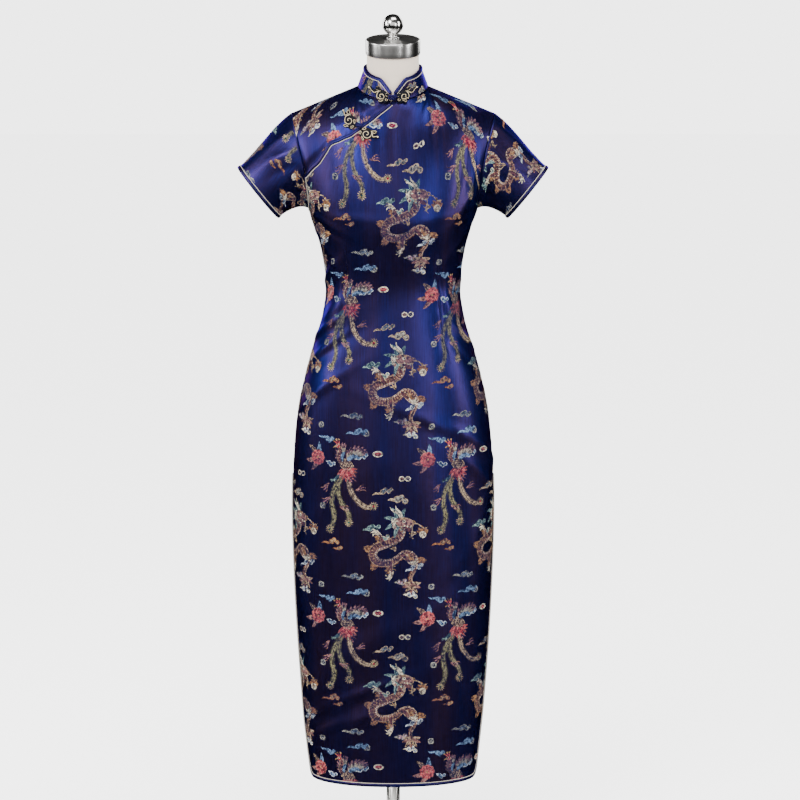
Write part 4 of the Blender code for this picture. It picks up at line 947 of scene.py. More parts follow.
# ---------------------------------------------------------------------------------------------
# Darts. Two fish-eye darts in the front and two in the back take the cloth in at the waist; each
# shows as a fine stitched fold that runs out at both ends.
DARTS = [
    # side, turn at the waist, lowest, highest, lean
    (FRONT, -0.46, 0.985, 1.160, 0.03), (FRONT, 0.46, 0.955, 1.150, -0.03),
    (BACK, -0.44, 0.950, 1.130, 0.02), (BACK, 0.44, 0.950, 1.130, -0.02),
]
DART_HALF, DART_HEIGHT = 0.0011, 0.0006
DART_RING = np.array([(-1.0, 0.1), (-0.6, 0.8), (0.0, 1.0), (0.6, 0.5), (1.0, 0.1), (0.0, -0.6)])
dart_pieces = {FRONT: [], BACK: []}
for k, (side, turn, low, high, lean) in enumerate(DARTS):
    share = np.linspace(0, 1, 60)
    level = low + (high - low) * share
    swell = 0.15 + 0.85 * (np.sin(math.pi * share) ** 0.5)[:, None]
    across = (turn + lean * (share - 0.5))[:, None] + DART_RING[:, 0] * DART_HALF / TURN_WIDTH * swell
    lift = DART_RING[:, 1] * DART_HEIGHT * swell
    lines = body_point(across, level[:, None] + 0 * across, side, lift)
    piece = closed_band("dart_fold_" + str(k + 1), lines, binding_satin)
    dart_pieces[side].append(piece)

# ---------------------------------------------------------------------------------------------
# Frog closures. Pale gold cord is coiled and looped by hand on black backing and sewn down; each
# pair of halves meets under a navy satin button knot, one at the throat and one on the chest.
FROG_SEAT, UNDER_SEAT, PLATE_THICK, FROG_CORD = 0.0022, 0.0004, 0.0013, 0.00074
# painted shadow: a black cord wider than each gold cord and sunk below it, which shows as a dark line round
# it
SHADOW_CORD, SHADOW_DROP, LOOP_LIFT = 0.00145, 0.0008, 0.0004
COLLAR_FROG_RISE = 0.004
CHEST_FROG = (-0.0600, 1.3780)
TAIL_START, TAIL_JOIN, TAIL_SHRINK = 0.028, 0.014, 0.5
FROG_EYE, COIL_START, COIL_END = (0.0205, 0.0010), 0.0012, 0.0090
FROG_TIP = (0.0480, 0.0114)
FROG_OUTLINE = [
    # along, middle, half width
    (0.0050, 0.0000, 0.0016), (0.0080, -0.0010, 0.0040), (0.0120, -0.0006, 0.0100), (0.0170, 0.0006, 0.0112),
    (0.0230, 0.0022, 0.0108), (0.0280, 0.0056, 0.0096), (0.0325, 0.0072, 0.0050), (0.0380, 0.0076, 0.0026),
    (0.0440, 0.0100, 0.0024), (0.0486, 0.0116, 0.0018),
]
FROG_TAIL = [(0.0292, 0.0076), (0.0335, 0.0056), (0.0385, 0.0066), (0.0430, 0.0100), (0.0474, 0.0112)]
FROG_LOOPS = [
    # root, aim in degrees, length, half width
    ((0.0225, 0.0098), 28, 0.0110, 0.0042),
    ((0.0092, -0.0030), -66, 0.0058, 0.0026),
    ((0.0092, 0.0010), 60, 0.0066, 0.0026),
    ((0.0170, -0.0084), -18, 0.0080, 0.0024),
]


def neck_surface(hand):
    """Collar front above its seam, and the panel below it."""
    def surface(along, across, out):
        angle, rise = hand * along / NECK_HALF, COLLAR_FROG_RISE + across
        height = collar_height(along)
        turn, step = angle / QUARTER * NECK_TURN, 0.002
        reach = body_plain(turn, TOP + 0 * turn, FRONT) - body_plain(turn, TOP - step + 0 * turn, FRONT)
        steep = np.linalg.norm(reach, axis=-1) / step
        low = body_point(turn, TOP + np.minimum(rise, 0) / steep, FRONT, out)
        high = collar_point(angle, np.clip(rise / height, 0, 1.2), out)
        return np.where((rise >= 0)[..., None], high, low)
    return surface


def chest_surface(aim, size, drop):
    """Chest round the button, along a slanted half of its frog, whose tail is drawn in."""
    ahead, mirror = (math.cos(aim), math.sin(aim)), 1 if math.cos(aim) > 0 else -1

    def surface(along, across, out):
        along = np.where(along > TAIL_START, TAIL_JOIN + along * TAIL_SHRINK, along) * size
        across = across * size * mirror
        x = CHEST_FROG[0] + ahead[0] * along - ahead[1] * across
        z = CHEST_FROG[1] + ahead[1] * along + ahead[0] * across
        turn, level = find_place(x, z)
        return body_point(turn, level, FRONT, out + (under_out(turn, level) if drop else 0.0))
    return surface


def smooth_path(points, steps=6):
    """Rounded line through all the points."""
    points = np.array(points, float)
    ends = np.vstack([2 * points[0] - points[1], points, 2 * points[-1] - points[-2]])
    line = [hermite(b, (c - a) / 2, c, (d - b) / 2, t / steps)
            for a, b, c, d in zip(ends, ends[1:], ends[2:], ends[3:]) for t in range(steps)]
    return np.array(line + [points[-1]])


def cord_rings(points, radius, closed=False):
    """Rings of a round cord along points."""
    steps = np.roll(points, -1, 0) - np.roll(points, 1, 0) if closed else np.gradient(points, axis=0)
    ahead = unit(steps)
    first = unit(np.cross(ahead, np.array([0.31, -0.92, 0.24])))
    second = np.cross(ahead, first)
    angle = 2 * math.pi * np.arange(CORD_SIDES) / CORD_SIDES
    ring = first[:, None] * np.cos(angle)[:, None] + second[:, None] * np.sin(angle)[:, None]
    return points[:, None] + ring * np.broadcast_to(radius, len(points))[:, None, None]


def backing():
    """Black twill of the frog's plate, also used for the black under-cords that are painted shadow round the
    gold cords.
    """
    material, nodes, links, shader = new_material("black backing and shadow")
    place = add_node(nodes, "ShaderNodeTexCoord")
    twill = add_node(nodes, "ShaderNodeTexWave", Scale=900.0, Distortion=0.5, bands_direction="DIAGONAL")
    ramp = colour_ramp(nodes, (0.0015, 0.0015, 0.0025), (0.005, 0.005, 0.009))
    bump = add_node(nodes, "ShaderNodeBump", Strength=0.5, Distance=0.0002)
    shader.inputs["Roughness"].default_value = 0.90
    shader.inputs["Specular IOR Level"].default_value = 0.12
    for source, target in [
        (place.outputs["Object"], twill.inputs["Vector"]), (twill.outputs["Fac"], ramp.inputs[0]),
        (ramp.outputs[0], shader.inputs["Base Color"]), (twill.outputs["Fac"], bump.inputs["Height"]),
        (bump.outputs[0], shader.inputs["Normal"]),
    ]:
        links.new(source, target)
    return material


def join_pieces(pieces):
    """Join pieces into the first of them."""
    with bpy.context.temp_override(active_object=pieces[0], selected_editable_objects=pieces):
        bpy.ops.object.join()
    return pieces[0]


def frog_cords():
    """Paths of one half: the coil and its tail, a leaf loop above, and three small ones by the knot."""
    angle = np.linspace(math.radians(-430), math.radians(62), 40)
    reach = np.linspace(COIL_START, COIL_END, 40)
    coil = np.stack([FROG_EYE[0] + reach * np.cos(angle), FROG_EYE[1] + reach * np.sin(angle)], -1)
    tail = smooth_path([coil[-1], *FROG_TAIL])
    loops = [np.vstack([coil, tail[1:]])]
    for root, aim, length, wide in FROG_LOOPS:
        t = np.linspace(0, 2 * math.pi, 22)[:-1]
        far, side = length * (1 - np.cos(t)) / 2, wide * np.sin(t) * (0.55 - 0.45 * np.cos(t))
        c, s = math.cos(math.radians(aim)), math.sin(math.radians(aim))
        loops.append(np.stack([root[0] + far * c - side * s, root[1] + far * s + side * c], -1))
    return loops


# the dark colour is painted shade between the strands, the light one a painted highlight on them
gold_cord = cord_material("gold cord", (0.12, 0.085, 0.040), (0.42, 0.34, 0.20), 230.0)
black_backing_and_shadow = backing()
frog_halves = {
    "collar_frog_left": (neck_surface(-1), FROG_SEAT, 1.0),
    "collar_frog_right": (neck_surface(1), FROG_SEAT, 1.0),
    "chest_frog_upper": (chest_surface(math.radians(152), 0.98, True), UNDER_SEAT, 0.9),
    "chest_frog_lower": (chest_surface(math.radians(-46), 0.96, False), FROG_SEAT, 0.9),
}
plate_shares = np.array([-1.0, -0.92, -0.5, 0.0, 0.5, 0.92, 1.0])
plate_crown = PLATE_THICK * np.array([0.35, 0.9, 1.0, 1.0, 1.0, 0.9, 0.35])
for name, (surface, seat, size) in frog_halves.items():
    outline = smooth_path(FROG_OUTLINE, 4)
    along = outline[:, :1] + 0 * plate_shares
    across = outline[:, 1:2] + outline[:, 2:3] * plate_shares
    top = surface(along, across, seat + plate_crown + 0 * along)
    bottom = surface(along, across, seat + 0 * along)
    plate = cloth_wall(name + "_backing", top, bottom, black_backing_and_shadow, False)
    plate_and_shadows = [plate]
    out, rings = seat + PLATE_THICK + FROG_CORD * 0.8, []
    for k, path in enumerate(frog_cords()):
        looped = k > 0
        rise = out + (LOOP_LIFT if looped else 0.0)
        points = surface(path[:, 0], path[:, 1], np.full(len(path), rise))
        rings.append((cord_rings(points, FROG_CORD * size * (0.85 if looped else 1.0), looped), looped))
        # painted shadow: a wider black cord under each gold one, joined to the backing plate
        low = surface(path[:, 0], path[:, 1], np.full(len(path), rise - SHADOW_DROP))
        shadow_ring = cord_rings(low, SHADOW_CORD * size, looped)
        plate_and_shadows.append(closed_band(name + "_shadow_cord", shadow_ring, black_backing_and_shadow, looped))
    tip = surface(*[np.array([value]) for value in (*FROG_TIP, out)])[0]
    t = np.linspace(0, math.pi, 9)
    ball_line = tip + np.outer(np.cos(t), [0.0017 * size, 0, 0.0003])
    ball = cord_rings(ball_line, 0.0018 * size * np.sin(t) + 0.00005)
    rings.append((ball, False))
    cord = join_pieces([closed_band(name + "_coil", ring, gold_cord, closed) for ring, closed in rings])
    plate = join_pieces(plate_and_shadows)
    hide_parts(name + "_plate")
    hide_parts(name + "_cord")

KNOT_REACH, KNOT_SIDE, KNOT_WAVE, KNOT_LIFT, KNOT_CORD = 0.0058, 0.0028, 0.0017, 0.0068, 0.00125
CORE_LIFT, CORE_REACH, CORE_RADIUS = 0.0066, 0.0060, 0.0026
for name, surface, size in (("collar_knot", frog_halves["collar_frog_right"][0], 1.0),
                            ("chest_knot", frog_halves["chest_frog_lower"][0], 0.8)):
    zero = np.array([0.0])
    start = surface(zero, zero, zero)[0]
    ahead = unit(surface(zero + 0.002, zero, zero)[0] - start)
    out = unit(surface(zero, zero, zero + 0.001)[0] - start)
    side = np.cross(out, ahead)
    t = np.linspace(0, 2 * math.pi, 121)[:-1]
    swell = 1 + 0.38 * np.cos(5 * t)
    path = (np.outer(KNOT_REACH * size * swell * np.cos(3 * t), ahead)
            + np.outer(KNOT_SIDE * size * swell * np.sin(3 * t), side)
            + np.outer(KNOT_WAVE * np.sin(5 * t), out)) + start + out * KNOT_LIFT
    woven = cord_rings(path, KNOT_CORD * size, closed=True)
    cap = np.linspace(0, math.pi, 11)
    core_line = start + out * CORE_LIFT + np.outer(np.cos(cap), ahead) * CORE_REACH * size
    core = cord_rings(core_line, CORE_RADIUS * size * np.sin(cap) + 0.00005)
    knot = join_pieces([closed_band(name + "_button", woven, binding_satin, True),
                        closed_band(name + "_core", core, binding_satin)])
    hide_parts(name)

# ---------------------------------------------------------------------------------------------
# Woven motifs. Coloured silk wefts float over the satin as dragons, phoenixes, peonies, clouds and
# coins. One repeat is built up from arcs and fans of thread, in millimetres, and laid over each
# panel in rows.
MILLIMETRE = 0.001
REPEAT = 205.0, 296.0
STITCH = 2.4
THREAD_LIFT, THREAD_STEP = 0.00026, 0.06
THREADS = {
    "gold": (0.210, 0.130, 0.055),
    "tan": (0.240, 0.175, 0.105),
    "cream": (0.420, 0.370, 0.270),
    "rust": (0.070, 0.028, 0.020),
    "orange": (0.170, 0.070, 0.020),
    "salmon": (0.165, 0.082, 0.062),
    "red": (0.200, 0.016, 0.018),
    "coral": (0.320, 0.058, 0.050),
    "pink": (0.190, 0.085, 0.100),
    "mint": (0.130, 0.190, 0.165),
    "teal": (0.034, 0.058, 0.062),
    "sky": (0.085, 0.135, 0.220),
    "slate": (0.040, 0.055, 0.080),
    "silver": (0.330, 0.360, 0.400),
    "stone": (0.150, 0.145, 0.120),
    "olive": (0.115, 0.105, 0.048),
    "green": (0.010, 0.055, 0.036),
    "bark": (0.062, 0.038, 0.026),
    "night": (0.004, 0.005, 0.020),
}
thread_names = list(THREADS)
chart = {"points": [], "faces": [], "threads": []}


def add_shape(points, height, faces, thread):
    """Add one patch of a thread to the repeat, at its layer's height."""
    chart["points"].append(np.column_stack([points, np.full(len(points), float(height))]))
    chart["faces"].append(faces)
    chart["threads"].append(np.full(len(faces), thread_names.index(thread)))


def draw(motif, x, y, turn=0.0, size=1.0, flip=1, **look):
    """Draw a motif about its own origin, then size, turn and move it to its place."""
    mark = len(chart["points"])
    motif(**look)
    spin = math.radians(turn)
    for i in range(mark, len(chart["points"])):
        points = chart["points"][i]
        across, up = points[:, 0] * size * flip, points[:, 1] * size
        points[:, 0] = x + across * math.cos(spin) - up * math.sin(spin)
        points[:, 1] = y + across * math.sin(spin) + up * math.cos(spin)
        if flip < 0:
            chart["faces"][i] = chart["faces"][i][:, ::-1]


def bent(start, heading, *bends):
    """Line of arcs joined end to end, each given as its length and its turn in degrees."""
    line, heading = [np.array(start, float)], math.radians(heading)
    for length, turn in bends:
        count = max(round(length / STITCH), 2)
        for _ in range(count):
            heading += math.radians(turn) / count / 2
            line.append(line[-1] + length / count * np.array([math.cos(heading), math.sin(heading)]))
            heading += math.radians(turn) / count / 2
    return np.array(line)


def taper(line, wide, start, end):
    """Widths along a line that narrow to the given shares at its ends."""
    share, reach = np.linspace(0, 1, len(line)), 0.3
    opening, closing = start + (1 - start) * share / reach, end + (1 - end) * (1 - share) / reach
    return wide * np.minimum(1, np.minimum(opening, closing))


def ribbon(line, widths, thread, height=3.0):
    """Band of thread along a line. Gives back the line, its left side and its half widths."""
    ahead = np.gradient(line, axis=0)
    ahead /= np.maximum(np.linalg.norm(ahead, axis=1, keepdims=True), 1e-9)
    left = np.stack([-ahead[:, 1], ahead[:, 0]], -1)
    half = (np.zeros(len(line)) + widths)[:, None] / 2
    columns = 2 if half.max() < 2.6 else 3 if half.max() < 4.4 else 4
    rails = [line - left * half * share for share in np.linspace(-1, 1, columns)]
    add_shape(np.stack(rails, 1).reshape(-1, 2), height, grid_faces(len(line), columns, 0), thread)
    return line, left, half


def stroke(start, heading, bends, wide, thread, height=3.0, ends=(0.3, 0.1)):
    """Single tapered line of thread."""
    line = bent(start, heading, *bends)
    return ribbon(line, taper(line, wide, *ends), thread, height)


def edged(line, widths, thread, edge, height, shadow_ring=0.9):
    """Band with a lighter thread showing along both of its sides."""
    ribbon(line, widths + 2 * shadow_ring, edge, height)
    return ribbon(line, widths, thread, height + 0.6)


def leaf(start, aim, length, wide, bend, thread, vein, height=2.0):
    """Pointed leaf, feather or lock of hair with a vein."""
    line = bent(start, aim, (length, bend))
    share = np.linspace(0, 1, len(line))
    edged(line, wide * np.sin(math.pi * share ** 0.8) ** 0.8, thread, vein, height, 0.5)
    ribbon(line[:-1], 0.7, vein, height + 1.2)


def fill(outline, thread, height=1.0):
    """Filled outline, in rings towards its middle."""
    middle = outline.mean(axis=0)
    reach = np.hypot(*(outline - middle).T).max()
    shares = np.linspace(1, 0.04, max(round(reach / 4.5), 1) + 1)
    rings = np.stack([middle + (outline - middle) * share for share in shares])
    add_shape(rings.reshape(-1, 2), height, grid_faces(len(shares), len(outline), 0, wrap=True), thread)


def disc(x, y, radius, thread, height=1.0, flat=1.0, lobes=0, depth=0.0):
    """Round patch, or a scalloped one where it has lobes."""
    angle = np.arange(max(round(math.pi * radius / 1.4), lobes * 4, 7))
    angle = angle / len(angle) * 2 * math.pi
    reach = radius * (1 - depth * (1 - np.abs(np.sin(angle * lobes / 2))))
    fill(np.stack([x + reach * np.cos(angle), y + reach * flat * np.sin(angle)], -1), thread, height)


def curl(x, y, radius, start, turns, wide, thread, height=3.0):
    """Small spiral that winds in."""
    t = np.linspace(0, 1, max(int(9 * abs(turns)), 4))
    angles = math.radians(start) + 2 * math.pi * turns * t
    reach = radius * (1 - 0.75 * t)
    line = np.stack([x + reach * np.cos(angles), y + reach * np.sin(angles)], -1)
    ribbon(line, taper(line, wide, 0.5, 0.3), thread, height)


def scales(band, thread, height, every=2, across=(-0.5, 0.0, 0.5)):
    """Rows of small arched scales over a wide band."""
    line, left, half = band
    for i in range(1, len(line) - 1, every):
        ahead = line[i + 1] - line[i - 1]
        ahead /= np.hypot(*ahead)
        shift = 0.25 * ((i // every) % 2) - 0.12
        for place in across:
            middle = line[i] + left[i] * half[i] * (place + shift)
            size = half[i] * 0.26
            arch = np.array([middle - left[i] * size, middle + ahead * size * 1.3, middle + left[i] * size])
            ribbon(arch, 0.95, thread, height)


def barbs(band, thread, height, long, every=1, sides=(-1, 1), wide=1.1):
    """Short threads that slant out of the sides of a band, as fins and feather barbs."""
    line, left, half = band
    for i in range(1, len(line) - 1, every):
        ahead = line[i + 1] - line[i - 1]
        ahead /= np.hypot(*ahead)
        for side in sides:
            root = line[i] + left[i] * half[i] * side * 0.8
            tip = root + (left[i] * side + ahead * 0.9) * long
            ribbon(np.array([root, tip]), np.array([wide, wide * 0.3]), thread, height)


def cloud(lobes=3, thread="slate", edge="stone", inner="stone", tail=24):
    """Rounded lobes in a row, each with a curl, and a tail that trails away behind them."""
    stroke((2, -1), 200, ((tail * 0.5, -45), (tail * 0.5, 60)), 4.0, edge, 1.0, (1.0, 0.15))
    places = [(5.5 * i, 2.8 * math.sin(2.1 * i), 5.2 - 0.45 * i) for i in range(lobes)]
    for x, y, radius in places:
        disc(x, y, radius, edge, 1.5)
    for x, y, radius in places:
        disc(x, y, radius - 1.2, thread, 2.2)
    for i, (x, y, radius) in enumerate(places):
        curl(x, y, radius * 0.55, 60 * i, 0.9 if i % 2 else -0.9, 1.1, inner)


def coin():
    """Small scalloped medallion with a crossed middle."""
    disc(0, 0, 6.4, "stone", 1.5, lobes=4, depth=0.16)
    disc(0, 0, 3.4, "night", 2.2)
    reach = 2.6
    for heading in (45, 135):
        spin = math.radians(heading)
        start = (-reach * math.cos(spin), -reach * math.sin(spin))
        stroke(start, heading, ((2 * reach, 0),), 1.1, "stone", 3.0, (0.8, 0.8))


def oval(core="red", radius=9.5, flat=0.6):
    """Oval bead with a coloured core."""
    disc(0, 0, radius, "cream", 1.8, flat)
    disc(0, 0, radius * 0.66, core, 2.4, flat * 0.9)
    stroke((-radius * 0.4, 0), 0, ((radius * 0.8, 0),), 1.0, "tan")


def peony():
    """Three rounds of scalloped petals about a gold heart, over four leaves."""
    for aim, thread, vein in ((70, "sky", "slate"), (118, "bark", "tan"),
                              (215, "salmon", "rust"), (262, "salmon", "rust")):
        leaf((0, 0), aim, 29, 9, 30 if aim < 200 else -45, thread, vein, 1.0)
    for ring, (reach, count, size) in enumerate(((9.5, 9, 5.6), (5.6, 6, 4.6), (2.2, 3, 3.4))):
        for i in range(count):
            angle = 2 * math.pi * (i + 0.5 * ring) / count
            x, y = reach * math.cos(angle), reach * math.sin(angle)
            disc(x, y, size, "salmon", 2.0 + ring, lobes=5, depth=0.12)
            disc(x, y, size - 1.0, "coral", 2.4 + ring)
            curl(x, y, size * 0.5, math.degrees(angle), 0.7, 1.0, "red", 2.9 + ring)
    disc(0, 0, 1.9, "gold", 5.6)


def paw():
    """Leg along x, with flames at its elbow and four hooked toes."""
    thigh = bent((0, 0), 20, (15, -45))
    edged(thigh, taper(thigh, 6.5, 1.0, 0.7), "rust", "tan", 2.6)
    shin = bent(thigh[-1], -25, (11, 70))
    edged(shin, taper(shin, 4.0, 1.0, 0.8), "salmon", "cream", 3.4, 0.7)
    for i in range(4):
        leaf(thigh[-1], 140 - 34 * i, 13 - i, 3.4, 40, "orange", "gold", 2.0)
    x, y = shin[-1]
    disc(x, y, 3.8, "cream", 4.2)
    disc(x, y, 2.7, "salmon", 4.8)
    for toe in (-50, -5, 40, 150):
        stroke((x, y), toe + 30, ((9.5, 75),), 2.2, "cream", 5.2, (1.0, 0.1))


def dragon_head():
    """Side view with the nose towards x and the back of the skull at the origin."""
    for i in range(8):
        bend, thread, vein = (35, "mint", "teal") if i % 2 else (-25, "teal", "mint")
        leaf((0, 0), 95 + 21 * i, 20 + 5 * (i % 2), 5.4, bend, thread, vein, 2.0 + 0.1 * i)
    for lift in (0, 1):
        root = (1 - 3 * lift, 6 + lift)
        stroke(root, 100 + 18 * lift, ((12, 55), (9, -60)), 2.6, "cream", 4.2, (1.0, 0.15))
    stroke((4, -5), -35, ((10, 25), (4, -40)), 5.4, "rust", 3.4, (0.8, 0.3))
    stroke((6, -3), -12, ((10, 25),), 2.2, "red", 4.0, (1.0, 0.2))
    snout = bent((-2, 1), 10, (13, -22), (7, 36))
    edged(snout, taper(snout, 10.5, 1.0, 0.55), "salmon", "tan", 4.0)
    disc(0, 0, 7.6, "tan", 4.4, 0.92)
    disc(0, 0, 6.6, "salmon", 5.0, 0.92)
    curl(17.5, 3.0, 3.2, 230, 1.1, 1.3, "gold", 6.0)
    for x in (6, 10, 14):
        stroke((x, -3.2), -80, ((2.8, 20),), 1.2, "cream", 5.4, (1.0, 0.3))
    stroke((-1, 4.6), 25, ((9, -60),), 2.4, "gold", 6.2, (0.6, 0.2))
    disc(4.2, 2.0, 2.4, "cream", 6.2)
    disc(4.6, 2.0, 1.1, "night", 7.0)
    stroke((17, 0), 35, ((12, -80), (12, 95)), 1.5, "tan", 5.0, (1.0, 0.2))
    stroke((15, -2), -50, ((12, -50), (10, 80)), 1.5, "tan", 5.0, (1.0, 0.2))
    for i in range(3):
        stroke((6 - 3 * i, -7), -75 - 18 * i, ((10, -30),), 2.0, "mint", 3.0, (1.0, 0.1))


def dragon():
    """Serpent body in one long bend, with fins, scales and belly bands, four paws and a leafy tail."""
    body = bent((12, 38), -58, (34, -96), (34, -8), (40, 150), (42, 62), (34, -124), (30, -52), (18, 60))
    share = np.linspace(0, 1, len(body))
    swell = 0.66 + 0.34 * np.sin(math.pi * np.clip(share * 1.5, 0, 1))
    widths = 13.5 * swell * (1 - 0.6 * ease((share - 0.55) / 0.45))
    barbs(ribbon(body, widths + 1.0, "tan", 1.0), "orange", 1.2, 3.6, sides=(-1,), wide=1.7)
    band = edged(body, widths, "rust", "tan", 1.6)
    scales(band, "gold", 3.0)
    line, left, half = band
    ribbon(line + left * half * 0.72, half[:, 0] * 0.42, "salmon", 3.2)
    for i in range(2, len(line) - 2, 2):
        ends = np.array([line[i] + left[i] * half[i] * 0.50, line[i] + left[i] * half[i] * 0.96])
        ribbon(ends, 0.9, "cream", 3.8)
    for where, lean, flip in ((0.10, 62, -1), (0.24, -78, 1), (0.56, 70, -1), (0.66, -80, 1)):
        i = int(where * len(body))
        ahead = body[i + 1] - body[i - 1]
        draw(paw, *body[i], math.degrees(math.atan2(ahead[1], ahead[0])) + lean, 1.1, flip)
    for where, aim in ((0.34, 165), (0.44, 235), (0.80, -10)):
        x, y = body[int(where * len(body))]
        for i in range(4):
            leaf((x, y), aim + 24 * (i - 1.5), 21 - 3 * abs(i - 1.5), 4.4, 40 - 26 * i, "orange", "gold", 0.8)
    x, y = body[-1]
    for i in range(7):
        off = i - 3
        thread = "salmon" if i % 2 else "tan"
        leaf((x, y), -92 + 24 * off, 24 - 2.2 * abs(off), 6.4, 14 * off, thread, "rust", 2.0)
    disc(x, y - 10, 3.2, "gold", 4.4)
    disc(x, y - 10, 1.8, "night", 5.0)
    draw(cloud, -44, 30, 12, 1.0, 1, thread="teal", edge="mint", inner="mint", lobes=4, tail=16)
    draw(cloud, -20, 12, 190, 0.8, -1, thread="mint", edge="cream", inner="teal", tail=12)
    draw(cloud, 34, -44, 20, 1.0, 1, thread="slate", edge="silver", inner="silver", lobes=4, tail=18)
    draw(cloud, 10, -70, 185, 0.9, -1, thread="pink", edge="stone", inner="silver", tail=14)
    for x, y, aim in ((-30, -8, 100), (2, -12, 60), (40, 20, 120), (-10, -44, -70)):
        for i in range(3):
            thread = "gold" if i % 2 else "tan"
            stroke((x, y), aim + 30 * i, ((9, 60), (6, -110)), 2.0, thread, 0.9, (1.0, 0.1))
    draw(dragon_head, 12, 42, -10, 1.3)


def pearl():
    """Flaming pearl."""
    for i in range(5):
        leaf((0, 0), 50 + 26 * i, 15 - abs(i - 2) * 2, 4.2, 30, "orange", "gold", 1.0)
    disc(0, 0, 5.4, "cream", 2.4)
    curl(0, 0, 3.2, 60, 1.1, 1.0, "gold", 3.4)


def plume(bends, thread="olive", core="green"):
    """Long tail feather from the origin, with barbs on both sides and an eye at its end."""
    line = bent((0, 0), 0, *bends)
    band = ribbon(line, taper(line, 5.6, 0.5, 0.7), thread, 1.4)
    barbs(band, thread, 1.6, 3.2)
    ribbon(line, 1.2, "bark", 3.0)
    x, y = line[-1]
    for i in range(12):
        stroke((x, y), 30 * i, ((8.6, 12),), 1.5, "tan", 2.6, (1.0, 0.4))
    disc(x, y, 5.0, "olive", 3.2)
    disc(x, y, 3.4, "gold", 3.8)
    disc(x, y, 2.2, core, 4.6)


def wing():
    """Half-spread wing of three rows of feathers, from the shoulder at the origin."""
    rows = ((8, 31, "bark", "pink"), (7, 22, "stone", "tan"), (6, 13, "sky", "slate"))
    for row, (count, long, thread, vein) in enumerate(rows):
        for i in range(count):
            share = i / (count - 1)
            length = long * (0.72 + 0.28 * math.sin(math.pi * share))
            leaf((2.4 * i, 1.2 * i), 100 - 88 * share, length, 5.4 - row * 0.6, -22, thread, vein, 1.0 + row)


def phoenix():
    """Bird that flies down to the left, with an S neck, a crest, two wings and three long plumes."""
    for x, y, turn, bends, thread, core in (
            (4, -14, -150, ((36, 62), (40, 40), (26, -60)), "olive", "green"),
            (8, -12, -98, ((34, 28), (38, 42), (18, 60)), "tan", "red"),
            (0, -12, -128, ((34, 10), (44, 46), (38, -58)), "olive", "green")):
        draw(plume, x, y, turn, bends=bends, thread=thread, core=core)
    draw(wing, 8, 8, 10, 0.95)
    draw(wing, -2, 8, 68, 0.80)
    for i in range(9):
        thread = "coral" if i % 3 == 1 else "red"
        leaf((2, -4), -150 + 17 * i, 27 - 1.4 * abs(i - 4), 5.0, 22, thread, "salmon", 2.2 + 0.1 * i)
    for x in (-4, 1):
        leg = stroke((x, -8), -135, ((16, 8), (11, -30)), 2.4, "teal", 2.6, (1.0, 0.8))
        foot = leg[0][-1]
        for toe in (-30, 0, 30):
            stroke(foot, -157 + toe, ((5.5, 10),), 1.3, "mint", 3.2, (1.0, 0.2))
    body = bent((-9, 6), -12, (26, -26))
    scales(edged(body, taper(body, 17, 0.5, 0.5), "bark", "tan", 3.0), "tan", 4.6)
    neck = bent((-8, 7), 128, (16, -66), (15, 84))
    neck_band = edged(neck, taper(neck, 6.4, 1.0, 0.8), "rust", "tan", 3.2, 0.6)
    scales(neck_band, "salmon", 4.6, across=(-0.3, 0.3))
    x, y = neck[-1]
    for i in range(3):
        crest = stroke((x, y), 62 + 26 * i, ((12, 36),), 1.8, "coral", 4.0, (1.0, 0.6))
        disc(*crest[0][-1], 1.9, "gold", 4.6)
    disc(x, y, 4.2, "tan", 5.0)
    disc(x, y, 3.5, "red", 5.4)
    stroke((x - 2.5, y), 192, ((7.5, 26),), 2.6, "gold", 5.8, (1.0, 0.1))
    disc(x - 0.6, y + 0.8, 1.1, "cream", 6.0)
    for i in range(4):
        stroke((6, -16), -28 - 16 * i, ((17 + 2 * i, 30 - 15 * i),), 1.4, "pink", 2.0)
    for x, y, aim in ((-30, -34, 190), (-26, -60, 170), (20, -44, -20), (-10, -74, -60)):
        for i in range(3):
            thread = "pink" if i % 2 else "salmon"
            stroke((x, y), aim + 18 * i, ((12, 45), (9, -80)), 1.7, thread, 1.9, (1.0, 0.1))
    draw(cloud, 26, 16, 20, 0.9, 1, thread="sky", edge="silver", inner="slate", lobes=4, tail=12)
    draw(cloud, -30, 4, 160, 0.8, -1, thread="sky", edge="silver", inner="slate", tail=12)


# one repeat, laid out about the dragon
draw(dragon, -2, -6)
draw(pearl, 50, 12, -20, 1.2)
draw(phoenix, -92, 138)
draw(peony, 59, 150)
draw(cloud, -78, -67, 0, lobes=4)
draw(cloud, -69, 200, 8, thread="sky", edge="sky", inner="slate", lobes=4)
draw(cloud, 79, 186, 170, 0.9, -1, thread="sky", edge="sky", inner="slate")
draw(cloud, 26, 196, -5, thread="silver", edge="cream", inner="slate", tail=14)
draw(cloud, -22, 92, 15, 0.95, lobes=4, edge="tan", inner="olive")
draw(cloud, 4, 78, 0, 1.3, 1, thread="stone", edge="tan", inner="bark", tail=16)
draw(cloud, -118, -4, 10, thread="gold", edge="orange", inner="rust")
draw(cloud, -104, -16, 0, 0.75, thread="gold", edge="orange", inner="rust", lobes=2, tail=18)
draw(coin, 66, 210)
draw(coin, 70, 62)
draw(coin, -52, -98)
draw(oval, -31, 161)
draw(oval, 12, 116, core="rust", radius=5.4, flat=0.95)
draw(oval, 23, 116, core="night", radius=5.4, flat=0.95)

chart_points = np.vstack(chart["points"]) * MILLIMETRE
chart_points[:, 2] = THREAD_LIFT + chart_points[:, 2] * THREAD_STEP
starts = np.cumsum([0] + [len(points) for points in chart["points"][:-1]])
chart_faces = np.vstack([faces + start for faces, start in zip(chart["faces"], starts)])
chart_threads = np.concatenate(chart["threads"])


